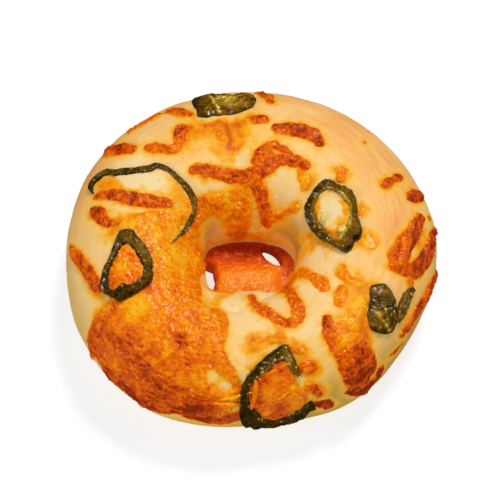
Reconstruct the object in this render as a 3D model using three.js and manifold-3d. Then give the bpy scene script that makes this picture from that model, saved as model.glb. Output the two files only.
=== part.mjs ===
// A bread ring baked under melted cheese and six slices of green pepper.
//
// Millimetres, +Z up. The origin is on the surface that the ring rests on, under the middle of its
// outline, and -Y is the near side. A place on the crust is [azimuth, over] in degrees. Azimuth runs
// round the ring from +X towards +Y. Over runs round the ring's section: 0 is the outer waist, 90 the
// top, 180 the waist inside the hole and 270 the base.

import * as THREE from 'three';
import { mergeVertices } from 'three/addons/utils/BufferGeometryUtils.js';
import Module from 'manifold-3d';

const wasm = await Module();
wasm.setup();

// The ring's outline, its hole and its height, which falls from the far side to the near side.
const RING_WIDTH = 109.8;
const RING_DEPTH = 107.8;
const HOLE_WIDTH = 27;
const HOLE_DEPTH = 24;
const HOLE_CENTRE = [-0.2, -4.5];
const FAR_HEIGHT = 38.2;
const NEAR_HEIGHT = 31.6;

// The section is a squarish oval: its waist as a share of the height, how square its upper and lower
// halves are (2 is a true oval), and how far the lower half is pressed flat by the baking tray.
const WAIST = 0.46;
const CROWN_SQUARENESS = 2.15;
const BASE_SQUARENESS = 2.5;
const BASE_PRESS = 1.1;

// The outline's waves put its middle here, away from the oval's own, so the whole is moved back by it.
const OUTLINE_MIDDLE = [1.05, -0.63];

// Hand-shaped unevenness of the outline: waves round the ring, height in mm, phase in degrees.
const OUTLINE_WAVES = [
  { waves: 2, height: 0.7, phase: 68 },
  { waves: 3, height: 0.5, phase: 353 },
  { waves: 4, height: 0.5, phase: 170 },
  { waves: 5, height: 0.35, phase: 60 },
  { waves: 6, height: 0.25, phase: 50 },
  { waves: 7, height: 0.2, phase: 347 },
];

// Grooves in the dough: the seam where the rope of dough closes, the crease along the lower left
// edge, and the crease on the near shoulder of the hole. Reach is the half width in degrees.
const GROOVES = [
  { azimuth: 96, over: 85, reach: [3.5, 34], depth: 1.3 },
  { azimuth: 204, over: -14, reach: [26, 7], depth: 1.2 },
  { azimuth: 256, over: 122, reach: [14, 6], depth: 0.7 },
];

const RING_STEPS = 84;
const SECTION_STEPS = 26;

// Thin gap between pieces that touch.
const CLEARANCE = 0.3;

// Melted shreds of cheese, fused to the crust: the places that each one runs through, its width and
// how far it stands proud, both in mm.
const SHREDS = [
  // Far side, left of the seam
  { path: [[86, 125], [98, 126], [110, 122], [119, 115], [126, 110]], width: 4.4, height: 1.2 },
  { path: [[120, 76], [122, 84], [127, 88], [132, 83], [134.5, 75]], width: 3, height: 1.1 },
  { path: [[137, 61], [140, 51], [141, 40]], width: 4.2, height: 1.2 },
  { path: [[113, 63], [116, 56], [118, 49]], width: 3.6, height: 0.9 },
  { path: [[122, 46], [131, 42]], width: 2.8, height: 0.9 },
  { path: [[158, 112], [158.5, 98], [160, 84], [161, 68], [161, 58]], width: 4, height: 1.1 },
  { path: [[171, 71], [168.5, 63], [167.5, 55]], width: 4.2, height: 1.2 },
  { path: [[178, 26], [184, 38], [191, 47], [199, 55]], width: 3.6, height: 1.1 },
  { path: [[103, 97], [105, 86]], width: 3.2, height: 0.7 },
  // Far side, right of the seam
  { path: [[54, 107], [62, 105], [70, 108], [79, 118], [88, 125]], width: 4.6, height: 1.3 },
  { path: [[70, 101], [77, 101], [82, 108], [85, 117]], width: 3.4, height: 1.2 },
  { path: [[84, 124], [79, 132], [73, 143], [67, 153], [62, 165]], width: 4.2, height: 1.1 },
  { path: [[60, 160], [54, 150], [47, 140], [41, 131]], width: 2.8, height: 0.8 },
  { path: [[46, 119], [51, 113], [56, 108]], width: 3, height: 0.8 },
  { path: [[58, 84], [64, 84], [70, 86], [75, 86]], width: 4.2, height: 1.3 },
  { path: [[83, 81], [86.5, 82]], width: 2.8, height: 0.9 },
  { path: [[82, 59], [84, 51], [86, 44]], width: 3.2, height: 0.9 },
  { path: [[34, 96], [38, 91]], width: 3, height: 0.8 },
  { path: [[23.5, 69], [25, 60], [26.5, 50]], width: 2.2, height: 0.9 },
  { path: [[18, 47], [19.5, 38], [20.5, 28]], width: 3.8, height: 1.2 },
  // Right side
  { path: [[348, 62], [353, 66], [359, 61], [365, 55], [370, 42]], width: 4, height: 1.3 },
  { path: [[352, 62], [350, 50], [352, 38], [360, 30], [368, 15]], width: 4.2, height: 1.3 },
  { path: [[331, 18], [339, 15], [347, 13], [356, 9]], width: 3.6, height: 1.1 },
  // Near side
  { path: [[276, 134], [283, 112], [294, 96], [301, 98], [306, 118], [313, 140]], width: 3.6, height: 1.2 },
  { path: [[327, 106], [329, 119], [332, 131], [338, 144]], width: 3.2, height: 1 },
  { path: [[341, 102], [336, 97], [334, 88], [336, 78]], width: 3, height: 0.8 },
  { path: [[321, 87], [328, 92]], width: 3.8, height: 0.8 },
  { path: [[311, 84], [307.5, 75], [306.5, 55], [307, 30], [308, 8]], width: 4.4, height: 1.3 },
  { path: [[306, 7], [312, 2], [318, 5]], width: 3.2, height: 1.2 },
  { path: [[291, 58], [296, 51]], width: 3.8, height: 1 },
  { path: [[292, 34], [294, 24]], width: 3, height: 0.9 },
  { path: [[293, 7], [298, 2]], width: 3.2, height: 1.2 },
];

// Spread sheets of melted cheese, fused to the crust as relief: middle and half sizes in degrees on
// the crust, and thickness in mm.
const SHEETS = [
  { middle: [233, 56], half: [28, 62], thickness: 1.3 },
  { middle: [196, 124], half: [40, 40], thickness: 0.8 },
  { middle: [313, 46], half: [7.5, 44], thickness: 1 },
  { middle: [279, 36], half: [10, 40], thickness: 0.9 },
];

// Pepper slices that lie as curled bands: the places that the middle of the wall runs through, how
// thick the wall is, and how far it stands proud of the crust and is sunk in it, in mm.
const BANDS = {
  pepper_slice_big_arc: {
    path: [[159, 50], [155.5, 47], [152, 56], [149, 70], [143.5, 82], [137.5, 91], [135, 104],
      [136, 119], [141, 130], [150, 134.5], [161, 135.5], [172, 131], [181, 124]],
    wall: 1.6,
    proud: 1.8,
    sunk: 1,
    steps: 28,
  },
  pepper_slice_left: {
    path: [[178.5, 88], [183, 94.5], [192, 98], [201, 95.5], [206, 87], [205.5, 74], [200.5, 61],
      [195, 63], [188, 72], [181, 81]],
    closed: true,
    wall: 2.6,
    proud: 2.4,
    sunk: 1.2,
    steps: 24,
  },
  pepper_slice_right: {
    path: [[355.5, 107], [360, 119], [367, 129], [379, 132], [392, 130], [398.5, 121], [398, 107],
      [391, 100], [380, 99], [366, 100]],
    closed: true,
    wall: 2.8,
    proud: 2.6,
    sunk: 1.2,
    steps: 24,
  },
  pepper_slice_bottom: {
    path: [[289, 48], [288.5, 61], [285.5, 76], [279, 74.5], [272, 65], [267.5, 50], [266, 32], [267, 14],
      [272, -1], [280, -5], [287, 3], [291, 16], [291.5, 27]],
    wall: 2.9,
    proud: 2.2,
    sunk: 1.4,
    steps: 28,
  },
};

// Pepper slices that lie shrivelled into pads: middle, half sizes and turn in degrees on the crust,
// and how far they stand proud and are sunk, in mm.
const PADS = {
  pepper_slice_top: { middle: [99, 61], half: [11.5, 14], turn: 0, proud: 2.3, sunk: 1.2 },
  pepper_slice_lower_right: { middle: [331, 55], half: [8, 19], turn: -12, proud: 2.2, sunk: 1.2 },
};
const LOWER_RIGHT_TAIL = { path: [[326, 38], [336, 39], [345, 43]], wall: 1.6, proud: 1.4, sunk: 1 };

// Cheese that has run into the hole and set across it: the height of its middle, half its thickness,
// the pillow on its near half, the gap left open along the wall and the slit, in mm and degrees.
const PLUG_HEIGHT = 10.2;
const PLUG_HALF_THICKNESS = 3.4;
const PLUG_PILLOW = { middle: [0, -7.5], reach: [9, 4.5], height: 2.6 };
const PLUG_GAP = { azimuth: 182, reach: 22, width: 2.8 };
const PLUG_SLIT = { middle: [6.9, 2.3], half: [3.6, 1.3], turn: -50 };

const DOUGH_COLOUR = 0xe9c078;
const CHEESE_COLOUR = 0xdf6a12;
const PEPPER_COLOUR = 0x39381a;

const radians = THREE.MathUtils.degToRad;

// A unit circle's sine or cosine, pressed towards a square as squareness grows past 2.
function squared(value, squareness) {
  return Math.sign(value) * Math.abs(value) ** (2 / squareness);
}

// Distances from the hole's middle to the hole's edge and to the outline, and the height, at one
// azimuth. The hole is an oval about its own middle and the outline one about the origin.
function section(azimuth) {
  const angle = radians(azimuth);
  const [dx, dy] = [Math.cos(angle), Math.sin(angle)];
  const [mx, my] = HOLE_CENTRE;
  const [a, b] = [RING_WIDTH / 2, RING_DEPTH / 2];
  const square = (dx / a) ** 2 + (dy / b) ** 2;
  const linear = (mx * dx) / a ** 2 + (my * dy) / b ** 2;
  const rest = (mx / a) ** 2 + (my / b) ** 2 - 1;
  let outer = (-linear + Math.sqrt(linear ** 2 - square * rest)) / square;
  for (const { waves, height, phase } of OUTLINE_WAVES) {
    outer += height * Math.cos(waves * angle - radians(phase));
  }
  const inner = 1 / Math.hypot((2 * dx) / HOLE_WIDTH, (2 * dy) / HOLE_DEPTH);
  const height = (FAR_HEIGHT + NEAR_HEIGHT) / 2 + ((FAR_HEIGHT - NEAR_HEIGHT) / 2) * dy;
  return { dx, dy, inner, outer, height };
}

// How deep the grooves are at a place on the crust.
function grooveDepth(azimuth, over) {
  let depth = 0;
  for (const groove of GROOVES) {
    const across = (azimuth - groove.azimuth) / groove.reach[0];
    const along = (over - groove.over) / groove.reach[1];
    depth += groove.depth * Math.exp(-(across ** 2) - along ** 2);
  }
  return depth;
}

// How thick the spread cheese is at a place on the crust: full in the middle of a sheet, falling
// to nothing over the outer fifth of its half size. Where two sheets overlap, the thicker one counts.
function sheetThickness(azimuth, over) {
  let thickness = 0;
  for (const sheet of SHEETS) {
    const across = (azimuth - sheet.middle[0]) / sheet.half[0];
    const along = (over - sheet.middle[1]) / sheet.half[1];
    const inside = THREE.MathUtils.smoothstep(1 - Math.hypot(across, along), 0, 0.2);
    thickness = Math.max(thickness, sheet.thickness * inside);
  }
  return thickness;
}

// The point of the smooth oval section at a place on the crust.
function sectionPoint(azimuth, over) {
  const { dx, dy, inner, outer, height } = section(azimuth);
  const waist = WAIST * height;
  const [c, s] = [Math.cos(radians(over)), Math.sin(radians(over))];
  const squareness = s >= 0 ? CROWN_SQUARENESS : BASE_SQUARENESS;
  const reach = (inner + outer) / 2 + ((outer - inner) / 2) * squared(c, squareness);
  const rise = (s >= 0 ? height - waist : waist * BASE_PRESS) * squared(s, squareness);
  return new THREE.Vector3(
    HOLE_CENTRE[0] + reach * dx,
    HOLE_CENTRE[1] + reach * dy,
    Math.max(waist + rise, 0),
  );
}

// The outward direction at a place on the crust.
function crustNormal(azimuth, over) {
  const step = 1.5;
  const round = sectionPoint(azimuth + step, over).sub(sectionPoint(azimuth - step, over));
  const across = sectionPoint(azimuth, over + step).sub(sectionPoint(azimuth, over - step));
  return round.cross(across).normalize();
}

// The crust at a place, moved outwards by lift.
function crust(azimuth, over, lift) {
  const turn = (((over + 90) % 360) + 360) % 360 - 90;
  const wrapped = ((azimuth % 360) + 360) % 360;
  const point = sectionPoint(wrapped, turn);
  const relief = sheetThickness(wrapped, turn) - grooveDepth(wrapped, turn);
  point.addScaledVector(crustNormal(wrapped, turn), lift + relief);
  point.z = Math.max(point.z, 0);
  return point;
}

// A closed geometry as a solid, with its shared vertices merged.
function solid(geometry) {
  const bare = geometry.clone();
  bare.deleteAttribute('normal');
  bare.deleteAttribute('uv');
  const merged = mergeVertices(bare, 1e-4);
  return new wasm.Manifold(new wasm.Mesh({
    numProp: 3,
    vertProperties: new Float32Array(merged.attributes.position.array),
    triVerts: new Uint32Array(merged.index.array),
  }));
}

// A solid back as a geometry.
function geometryOf(body) {
  const { vertProperties, triVerts } = body.getMesh();
  const geometry = new THREE.BufferGeometry();
  geometry.setAttribute('position', new THREE.BufferAttribute(new Float32Array(vertProperties), 3));
  geometry.setIndex(new THREE.BufferAttribute(new Uint32Array(triVerts), 1));
  geometry.computeVertexNormals();
  return geometry;
}

// Every vertex of a geometry moved to where a rule puts it.
function remapped(geometry, rule) {
  const positions = geometry.attributes.position;
  const vertex = new THREE.Vector3();
  for (let i = 0; i < positions.count; i += 1) {
    vertex.fromBufferAttribute(positions, i);
    positions.setXYZ(i, ...rule(vertex).toArray());
  }
  return geometry;
}

// The whole ring of dough, moved outwards by lift.
function ring(lift) {
  const torus = new THREE.TorusGeometry(1, 0.5, SECTION_STEPS, RING_STEPS);
  return solid(remapped(torus, ({ x, y, z }) => {
    const azimuth = THREE.MathUtils.radToDeg(Math.atan2(y, x));
    const over = THREE.MathUtils.radToDeg(Math.atan2(z, Math.hypot(x, y) - 1));
    return crust(azimuth, over, lift);
  }));
}

// A smooth route over the crust through the given places. A degree of azimuth is about twice as long
// on the crust as a degree of over, so azimuth counts double where the route is divided evenly.
function route(path, closed = false) {
  const points = path.map(([azimuth, over]) => new THREE.Vector3(2 * azimuth, over, 0));
  const curve = new THREE.CatmullRomCurve3(points, closed, 'centripetal');
  const place = (share) => {
    const { x, y } = curve.getPointAt(share);
    return [x / 2, y];
  };
  const step = 0.004;
  return (share) => {
    const before = closed ? (share - step + 1) % 1 : Math.max(share - step, 0);
    const after = closed ? (share + step) % 1 : Math.min(share + step, 1);
    const [azimuth, over] = place(share);
    const point = crust(azimuth, over, 0);
    const along = crust(...place(after), 0).sub(crust(...place(before), 0)).normalize();
    const up = crustNormal(azimuth, over);
    const side = new THREE.Vector3().crossVectors(along, up).normalize();
    return { point, along, up, side };
  };
}

// Length of a route in mm.
function routeLength(at) {
  const parts = 24;
  let length = 0;
  for (let i = 0; i < parts; i += 1) {
    length += at(i / parts).point.distanceTo(at((i + 1) / parts).point);
  }
  return length;
}

// A strand that runs over the crust and is rounded off at both ends. Squareness 2 gives it an oval
// section and more a boxier one. Grow makes it larger all round.
function strand({ path, width, proud, sunk, sides, steps, squareness = 2, grow = 0 }) {
  const at = route(path);
  const endShare = Math.min(width / 2 / routeLength(at), 0.5);
  const sphere = new THREE.SphereGeometry(1, sides, steps);
  return solid(remapped(sphere, ({ x, y, z }) => {
    const share = Math.acos(THREE.MathUtils.clamp(-y, -1, 1)) / Math.PI;
    const toEnd = Math.min(Math.min(share, 1 - share) / endShare, 1);
    const size = Math.sqrt(1 - (1 - toEnd) ** 2);
    const turn = Math.atan2(z, x);
    const { point, along, up, side } = at(share);
    const across = squared(Math.cos(turn), squareness) * size * (width / 2 + grow);
    const raise = squared(Math.sin(turn), squareness) * size;
    point.addScaledVector(side, across);
    point.addScaledVector(up, raise * ((raise > 0 ? proud : sunk) + grow));
    return point.addScaledVector(along, Math.sign(share - 0.5) * grow * (1 - size));
  }));
}

// A strand that closes on itself.
function loopBand({ path, width, proud, sunk, sides, steps, squareness, grow = 0 }) {
  const at = route(path, true);
  const torus = new THREE.TorusGeometry(1, 0.5, sides, steps);
  return solid(remapped(torus, ({ x, y, z }) => {
    const share = (Math.atan2(y, x) / (2 * Math.PI) + 1) % 1;
    const turn = Math.atan2(z, Math.hypot(x, y) - 1);
    const { point, up, side } = at(share);
    const raise = squared(Math.sin(turn), squareness);
    point.addScaledVector(side, squared(Math.cos(turn), squareness) * (width / 2 + grow));
    return point.addScaledVector(up, raise * ((raise > 0 ? proud : sunk) + grow));
  }));
}

// A flat lump spread on the crust with a wavy edge. Grow is in mm and makes it larger all round.
function spread({ middle, half, turn, proud, sunk, sides, rings, waviness = 0.06, grow = 0 }) {
  const sphere = new THREE.SphereGeometry(1, sides, rings);
  const [c, s] = [Math.cos(radians(turn)), Math.sin(radians(turn))];
  const growAzimuth = grow / 0.62;
  const growOver = grow / 0.31;
  return solid(remapped(sphere, ({ x, y, z }) => {
    const angle = Math.atan2(-z, x);
    const edge = 1 + waviness * (Math.sin(3 * angle + 1) + 0.6 * Math.sin(5 * angle));
    const [u, v] = [x * edge * (half[0] + growAzimuth), -z * edge * (half[1] + growOver)];
    const raise = squared(y, 3.4);
    return crust(
      middle[0] + u * c - (v * s) / 2,
      middle[1] + 2 * u * s + v * c,
      raise * ((raise > 0 ? proud : sunk) + grow),
    );
  }));
}

// One pepper slice, grown where its bed is cut from the crust.
function pepperBand({ path, closed, wall, proud, sunk, steps }, grow) {
  const shape = { path, width: wall, proud, sunk, steps, sides: 6, squareness: 3, grow };
  return closed ? loopBand(shape) : strand(shape);
}

function pepperPad(pad, grow) {
  return spread({ ...pad, sides: 18, rings: 7, grow });
}

function lowerRightSlice(grow) {
  const tail = pepperBand({ ...LOWER_RIGHT_TAIL, steps: 7 }, grow);
  return pepperPad(PADS.pepper_slice_lower_right, grow).add(tail);
}

// Makers of the six slices by name.
const slices = {};
for (const [name, band] of Object.entries(BANDS)) {
  slices[name] = (grow) => pepperBand(band, grow);
}
slices.pepper_slice_top = (grow) => pepperPad(PADS.pepper_slice_top, grow);
slices.pepper_slice_lower_right = lowerRightSlice;

// The ring with its cheese, and with a bed cut for each slice.
function bagel() {
  let body = ring(0);
  for (const { path, width, height } of SHREDS) {
    const steps = 3 + path.length;
    body = body.add(strand({ path, width, proud: height, sunk: 0.8, sides: 6, steps }));
  }
  for (const slice of Object.values(slices)) {
    body = body.subtract(slice(CLEARANCE));
  }
  return body;
}

// How far the wall of the hole is from the hole's middle at one azimuth and height.
function wallReach(azimuth, z) {
  const { inner, outer, height } = section(azimuth);
  const waist = WAIST * height;
  const above = z > waist;
  const squareness = above ? CROWN_SQUARENESS : BASE_SQUARENESS;
  const rise = above ? height - waist : waist * BASE_PRESS;
  const sine = squared(Math.min(Math.abs(z - waist) / rise, 1), 4 / squareness);
  const over = 180 - Math.sign(z - waist) * THREE.MathUtils.radToDeg(Math.asin(sine));
  const bulge = squared(Math.sqrt(1 - sine ** 2), squareness);
  return (inner + outer) / 2 - ((outer - inner) / 2) * bulge - sheetThickness(azimuth, over);
}

// The cheese set across the hole: a flat lump with a pillow on its near half that follows the wall
// of the hole all round, apart from the gap, with the slit cut through.
function plug() {
  const sphere = new THREE.SphereGeometry(1, 28, 9);
  const lump = solid(remapped(sphere, ({ x, y, z }) => {
    const azimuth = (THREE.MathUtils.radToDeg(Math.atan2(-z, x)) + 360) % 360;
    const point = new THREE.Vector3(0, 0, PLUG_HEIGHT + squared(y, 3) * PLUG_HALF_THICKNESS);
    const gap = PLUG_GAP.width * Math.exp(-(((azimuth - PLUG_GAP.azimuth) / PLUG_GAP.reach) ** 2));
    const reach = wallReach(azimuth, point.z) - CLEARANCE - gap;
    point.x = HOLE_CENTRE[0] + x * reach;
    point.y = HOLE_CENTRE[1] - z * reach;
    const across = (point.x - PLUG_PILLOW.middle[0]) / PLUG_PILLOW.reach[0];
    const along = (point.y - PLUG_PILLOW.middle[1]) / PLUG_PILLOW.reach[1];
    point.z += y > 0 ? y * PLUG_PILLOW.height * Math.exp(-(across ** 4) - along ** 2) : 0;
    return point;
  }));
  const slit = new THREE.CylinderGeometry(1, 1, 40, 14);
  slit.scale(PLUG_SLIT.half[0], 1, PLUG_SLIT.half[1]);
  slit.rotateX(Math.PI / 2);
  slit.rotateZ(radians(PLUG_SLIT.turn));
  slit.translate(PLUG_SLIT.middle[0], PLUG_SLIT.middle[1], PLUG_HEIGHT);
  return lump.subtract(solid(slit));
}

function named(name, body, colour, roughness) {
  const material = new THREE.MeshStandardMaterial({ color: colour, roughness, metalness: 0 });
  const mesh = new THREE.Mesh(geometryOf(body), material);
  mesh.name = name;
  return mesh;
}

const model = new THREE.Group();
model.position.set(-OUTLINE_MIDDLE[0], -OUTLINE_MIDDLE[1], 0);
model.add(named('bagel', bagel(), DOUGH_COLOUR, 0.6));
model.add(named('hole_cheese', plug(), CHEESE_COLOUR, 0.45));
for (const [name, slice] of Object.entries(slices)) {
  model.add(named(name, slice(0), PEPPER_COLOUR, 0.35));
}

export default model;
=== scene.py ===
import bpy
import numpy as np
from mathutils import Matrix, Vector


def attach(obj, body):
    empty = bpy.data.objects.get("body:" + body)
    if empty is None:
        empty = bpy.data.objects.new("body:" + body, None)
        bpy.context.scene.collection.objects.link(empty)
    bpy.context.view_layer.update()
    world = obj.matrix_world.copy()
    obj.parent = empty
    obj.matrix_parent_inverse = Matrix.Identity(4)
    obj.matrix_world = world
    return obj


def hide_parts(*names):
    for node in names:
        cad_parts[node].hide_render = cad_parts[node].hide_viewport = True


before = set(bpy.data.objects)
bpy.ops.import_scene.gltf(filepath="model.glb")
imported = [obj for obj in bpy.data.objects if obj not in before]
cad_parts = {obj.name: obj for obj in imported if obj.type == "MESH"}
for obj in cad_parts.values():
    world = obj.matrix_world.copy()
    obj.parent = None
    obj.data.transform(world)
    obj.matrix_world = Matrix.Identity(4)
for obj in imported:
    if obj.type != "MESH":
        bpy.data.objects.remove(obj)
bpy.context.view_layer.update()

# Dough ring
# A hand-shaped ring of wheat dough, boiled and baked: a smooth, faintly glossy crust, pale on the near
# side and more browned on the far right, with the seam where the rope of dough was closed.

# Sizes are in mm about the ring's own middle. A place on the crust is (azimuth, over) in degrees:
# azimuth runs round the ring from +X towards +Y, and over runs round its section, 0 at the outer waist,
# 90 at the top and 180 at the waist inside the hole.
MM = 0.001
RING_WIDTH, RING_DEPTH = 109.8, 107.8
HOLE_WIDTH, HOLE_DEPTH = 27.0, 24.0
HOLE_CENTRE = np.array([-0.2, -4.5])
FAR_HEIGHT, NEAR_HEIGHT = 38.2, 31.6
WAIST = 0.46
CROWN_SQUARENESS, BASE_SQUARENESS, BASE_PRESS = 2.15, 2.5, 1.1
OUTLINE_MIDDLE = np.array([1.05, -0.63, 0.0])
OUTLINE_WAVES = (
    (2, 0.7, 68), (3, 0.5, 353), (4, 0.5, 170), (5, 0.35, 60), (6, 0.25, 50), (7, 0.2, 347),
)
# Azimuth, over, half widths in degrees and depth in mm of each groove, or less than 0 for a swelling.
GROOVES = (
    (96, 85, 3.5, 34, 1.3), (204, -14, 26, 7, 1.2), (190, 166, 13, 18, -1.3), (219, 160, 8, 14, 1.0),
    (336, 162, 10, 16, -1.0), (90, 178, 30, 22, -1.0), (18, 174, 13, 18, 1.3), (131, 96, 9, 2.6, 0.45),
    (142, 174, 16, 20, 1.7), (38, 174, 16, 20, 1.6), (301, -2, 7, 16, 1.5),
)
# The lip of dough that was pushed into the near side of the hole: its middle and half width in azimuth,
# how far it hangs in and where it ends, then the places, the depth and the half width of its crease.
LIP_MIDDLE, LIP_HALF, LIP_REACH, LIP_EDGE, LIP_END = 273, 43, 2.4, 154, 180
CREASE = (
    (222, 140), (228, 135.5), (239.5, 125), (248, 120.5), (255, 117.5), (261.5, 116.5), (267, 123.5),
    (274.5, 133), (285, 140.5), (296, 148.5), (304.5, 150.5), (312, 152.5), (320, 154),
)
CREASE_DEPTH, CREASE_HALF = 0.5, 3.5
# Height in mm, size in mm and seed of each unevenness of the ring and of the far wall of the hole, and
# where that wall's is strongest.
RING_UNEVEN = ((0.3, 13, 11), (0.12, 5.5, 12))
WALL_UNEVEN = ((0.4, 3.2, 13), (0.2, 1.5, 14))
WALL_OVER, WALL_HALF = 170, 10


def squared(value, squareness):
    """A sine or cosine to the power 2 / squareness, with its sign kept, which squares off a circle."""
    return np.sign(value) * np.abs(value) ** (2 / squareness)


def wrapped(angle, start):
    """The angle in degrees moved by whole turns into the turn that begins at start."""
    return (angle - start) % 360 + start


def bell(value, middle, half):
    """1 at the middle, falling off on both sides as e to the power -((value - middle) / half)^2."""
    return np.exp(-((value - middle) / half) ** 2)


def rising(value, start, run):
    """A straight rise from 0 at start to 1 after the run, which is less than 0 for a fall."""
    return np.clip((value - start) / run, 0, 1)


def section(azimuth):
    """Direction, distances from the hole's middle to the hole's oval and to the outline's oval with its
    waves, and height, which rises evenly from the near side to the far side."""
    angle = np.radians(azimuth)
    dx, dy = np.cos(angle), np.sin(angle)
    a, b = RING_WIDTH / 2, RING_DEPTH / 2
    square = (dx / a) ** 2 + (dy / b) ** 2
    linear = HOLE_CENTRE[0] * dx / a ** 2 + HOLE_CENTRE[1] * dy / b ** 2
    rest = (HOLE_CENTRE[0] / a) ** 2 + (HOLE_CENTRE[1] / b) ** 2 - 1
    outer = (-linear + np.sqrt(linear ** 2 - square * rest)) / square
    for waves, height, phase in OUTLINE_WAVES:
        outer = outer + height * np.cos(waves * angle - np.radians(phase))
    inner = 1 / np.hypot(2 * dx / HOLE_WIDTH, 2 * dy / HOLE_DEPTH)
    height = (FAR_HEIGHT + NEAR_HEIGHT) / 2 + (FAR_HEIGHT - NEAR_HEIGHT) / 2 * dy
    return dx, dy, inner, outer, height


def section_point(azimuth, over):
    """A squarish oval between the hole and the outline, its lower half pressed flat on the tray."""
    dx, dy, inner, outer, height = section(azimuth)
    waist = WAIST * height
    c, s = np.cos(np.radians(over)), np.sin(np.radians(over))
    squareness = np.where(s >= 0, CROWN_SQUARENESS, BASE_SQUARENESS)
    reach = (inner + outer) / 2 + (outer - inner) / 2 * squared(c, squareness)
    rise = np.where(s >= 0, height - waist, waist * BASE_PRESS) * squared(s, squareness)
    x, y = HOLE_CENTRE[0] + reach * dx, HOLE_CENTRE[1] + reach * dy
    return np.stack([x, y, np.maximum(waist + rise, 0)], axis=-1)


def unit(vectors):
    """Vectors divided by their length."""
    return vectors / np.linalg.norm(vectors, axis=-1, keepdims=True)


def crust_normal(azimuth, over):
    """The cross product of the steps round the ring and round the section."""
    step = 1.5
    round_ring = section_point(azimuth + step, over) - section_point(azimuth - step, over)
    round_section = section_point(azimuth, over + step) - section_point(azimuth, over - step)
    return unit(np.cross(round_ring, round_section))


def mottle(points, size, seed):
    """Smooth random heights from about -1 to 1: a random slope at each corner of cubes of the given size
    in mm, and the heights of the eight slopes blended with the weight 6w^5 - 15w^4 + 10w^3."""
    corners = 24
    slopes = unit(np.random.default_rng(seed).normal(size=(corners, corners, corners, 3)))
    place = points / size + 5 * corners
    corner = np.floor(place).astype(int)
    share = place - corner
    blend = share ** 3 * (10 - 15 * share + 6 * share ** 2)
    total = np.zeros(points.shape[:-1])
    for step in np.ndindex(2, 2, 2):
        weight = np.prod(np.where(np.array(step) == 1, blend, 1 - blend), axis=-1)
        i, j, k = np.moveaxis((corner + step) % corners, -1, 0)
        total += weight * (slopes[i, j, k] * (share - step)).sum(-1)
    return total * 1.6


def mottles(points, table):
    """Sum of mottles, each given by its height and its size in mm and its seed."""
    return sum(height * mottle(points, size, seed) for height, size, seed in table)


def wrinkle(points, size, seed):
    """Heights from 0 to 1 with narrow crests, which run where the mottle of that size is zero."""
    return np.clip(1 - 1.9 * np.abs(mottle(points, size, seed)), 0, 1) ** 1.5


def crust(azimuth, over, lift=0.0):
    """The section's point moved along its normal by lift, less the grooves, plus the lip, which swells
    steadily from its crease to its edge, and the slow unevenness of hand-shaped dough, which is finer
    on the far wall of the hole."""
    azimuth, over = np.broadcast_arrays(wrapped(azimuth, 0.0), wrapped(over, -90.0))
    points = section_point(azimuth, over)
    for mid_azimuth, mid_over, half_azimuth, half_over, depth in GROOVES:
        lift = lift - depth * bell(azimuth, mid_azimuth, half_azimuth) * bell(over, mid_over, half_over)
    beyond = over - np.interp(azimuth, *np.transpose(CREASE))
    share = np.clip(1 - ((azimuth - LIP_MIDDLE) / LIP_HALF) ** 2, 0, 1)
    run = np.maximum(LIP_EDGE - over + beyond, 12)
    ended = rising(over, LIP_END, LIP_EDGE - LIP_END)
    lift = lift + LIP_REACH * share * rising(beyond, 0, run) ** 0.8 * ended ** 0.7
    lift = lift - CREASE_DEPTH * share ** 0.5 * bell(beyond, 0, CREASE_HALF)
    far_wall = np.clip(np.sin(np.radians(azimuth)), 0, 1) * bell(over, WALL_OVER, WALL_HALF)
    lift = lift + mottles(points, RING_UNEVEN) + far_wall * mottles(points, WALL_UNEVEN)
    points = points + crust_normal(azimuth, over) * np.asarray(lift)[..., None]
    points[..., 2] = np.maximum(points[..., 2], 0)
    return points


def grid_faces(rows, columns, rows_meet, columns_meet):
    """Quads between the neighbours on a grid of points, which may meet itself in either direction."""
    i = np.arange(rows if rows_meet else rows - 1)[:, None]
    j = np.arange(columns if columns_meet else columns - 1)[None, :]
    below, right = (i + 1) % rows, (j + 1) % columns
    corners = (i * columns + j, below * columns + j, below * columns + right, i * columns + right)
    return np.stack(corners, axis=-1).reshape(-1, 4)


def write_note(mesh, note, numbers):
    """Puts a number on each point of the mesh, for its finish to read."""
    layer = mesh.attributes.new(note, "FLOAT", "POINT")
    layer.data.foreach_set("value", np.ravel(numbers).astype(np.float32))


def piece(name, points, faces, notes, slot, *stands_for):
    """A mesh object from points in mm and faces, with a number on each point for each note, that rides
    on the part's one body and stands for the CAD nodes named. Its slot is not used."""
    mesh = bpy.data.meshes.new(name)
    places = (points.reshape(-1, 3) - OUTLINE_MIDDLE) * MM
    mesh.from_pydata(places.tolist(), [], [face for block in faces for face in block.tolist()])
    mesh.polygons.foreach_set("use_smooth", np.ones(len(mesh.polygons), bool))
    for note, numbers in notes.items():
        write_note(mesh, note, numbers)
    mesh.update()
    made = bpy.data.objects.new(name, mesh)
    bpy.context.scene.collection.objects.link(made)
    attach(made, "root")
    if stands_for:
        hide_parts(*stands_for)
    return made
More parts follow.
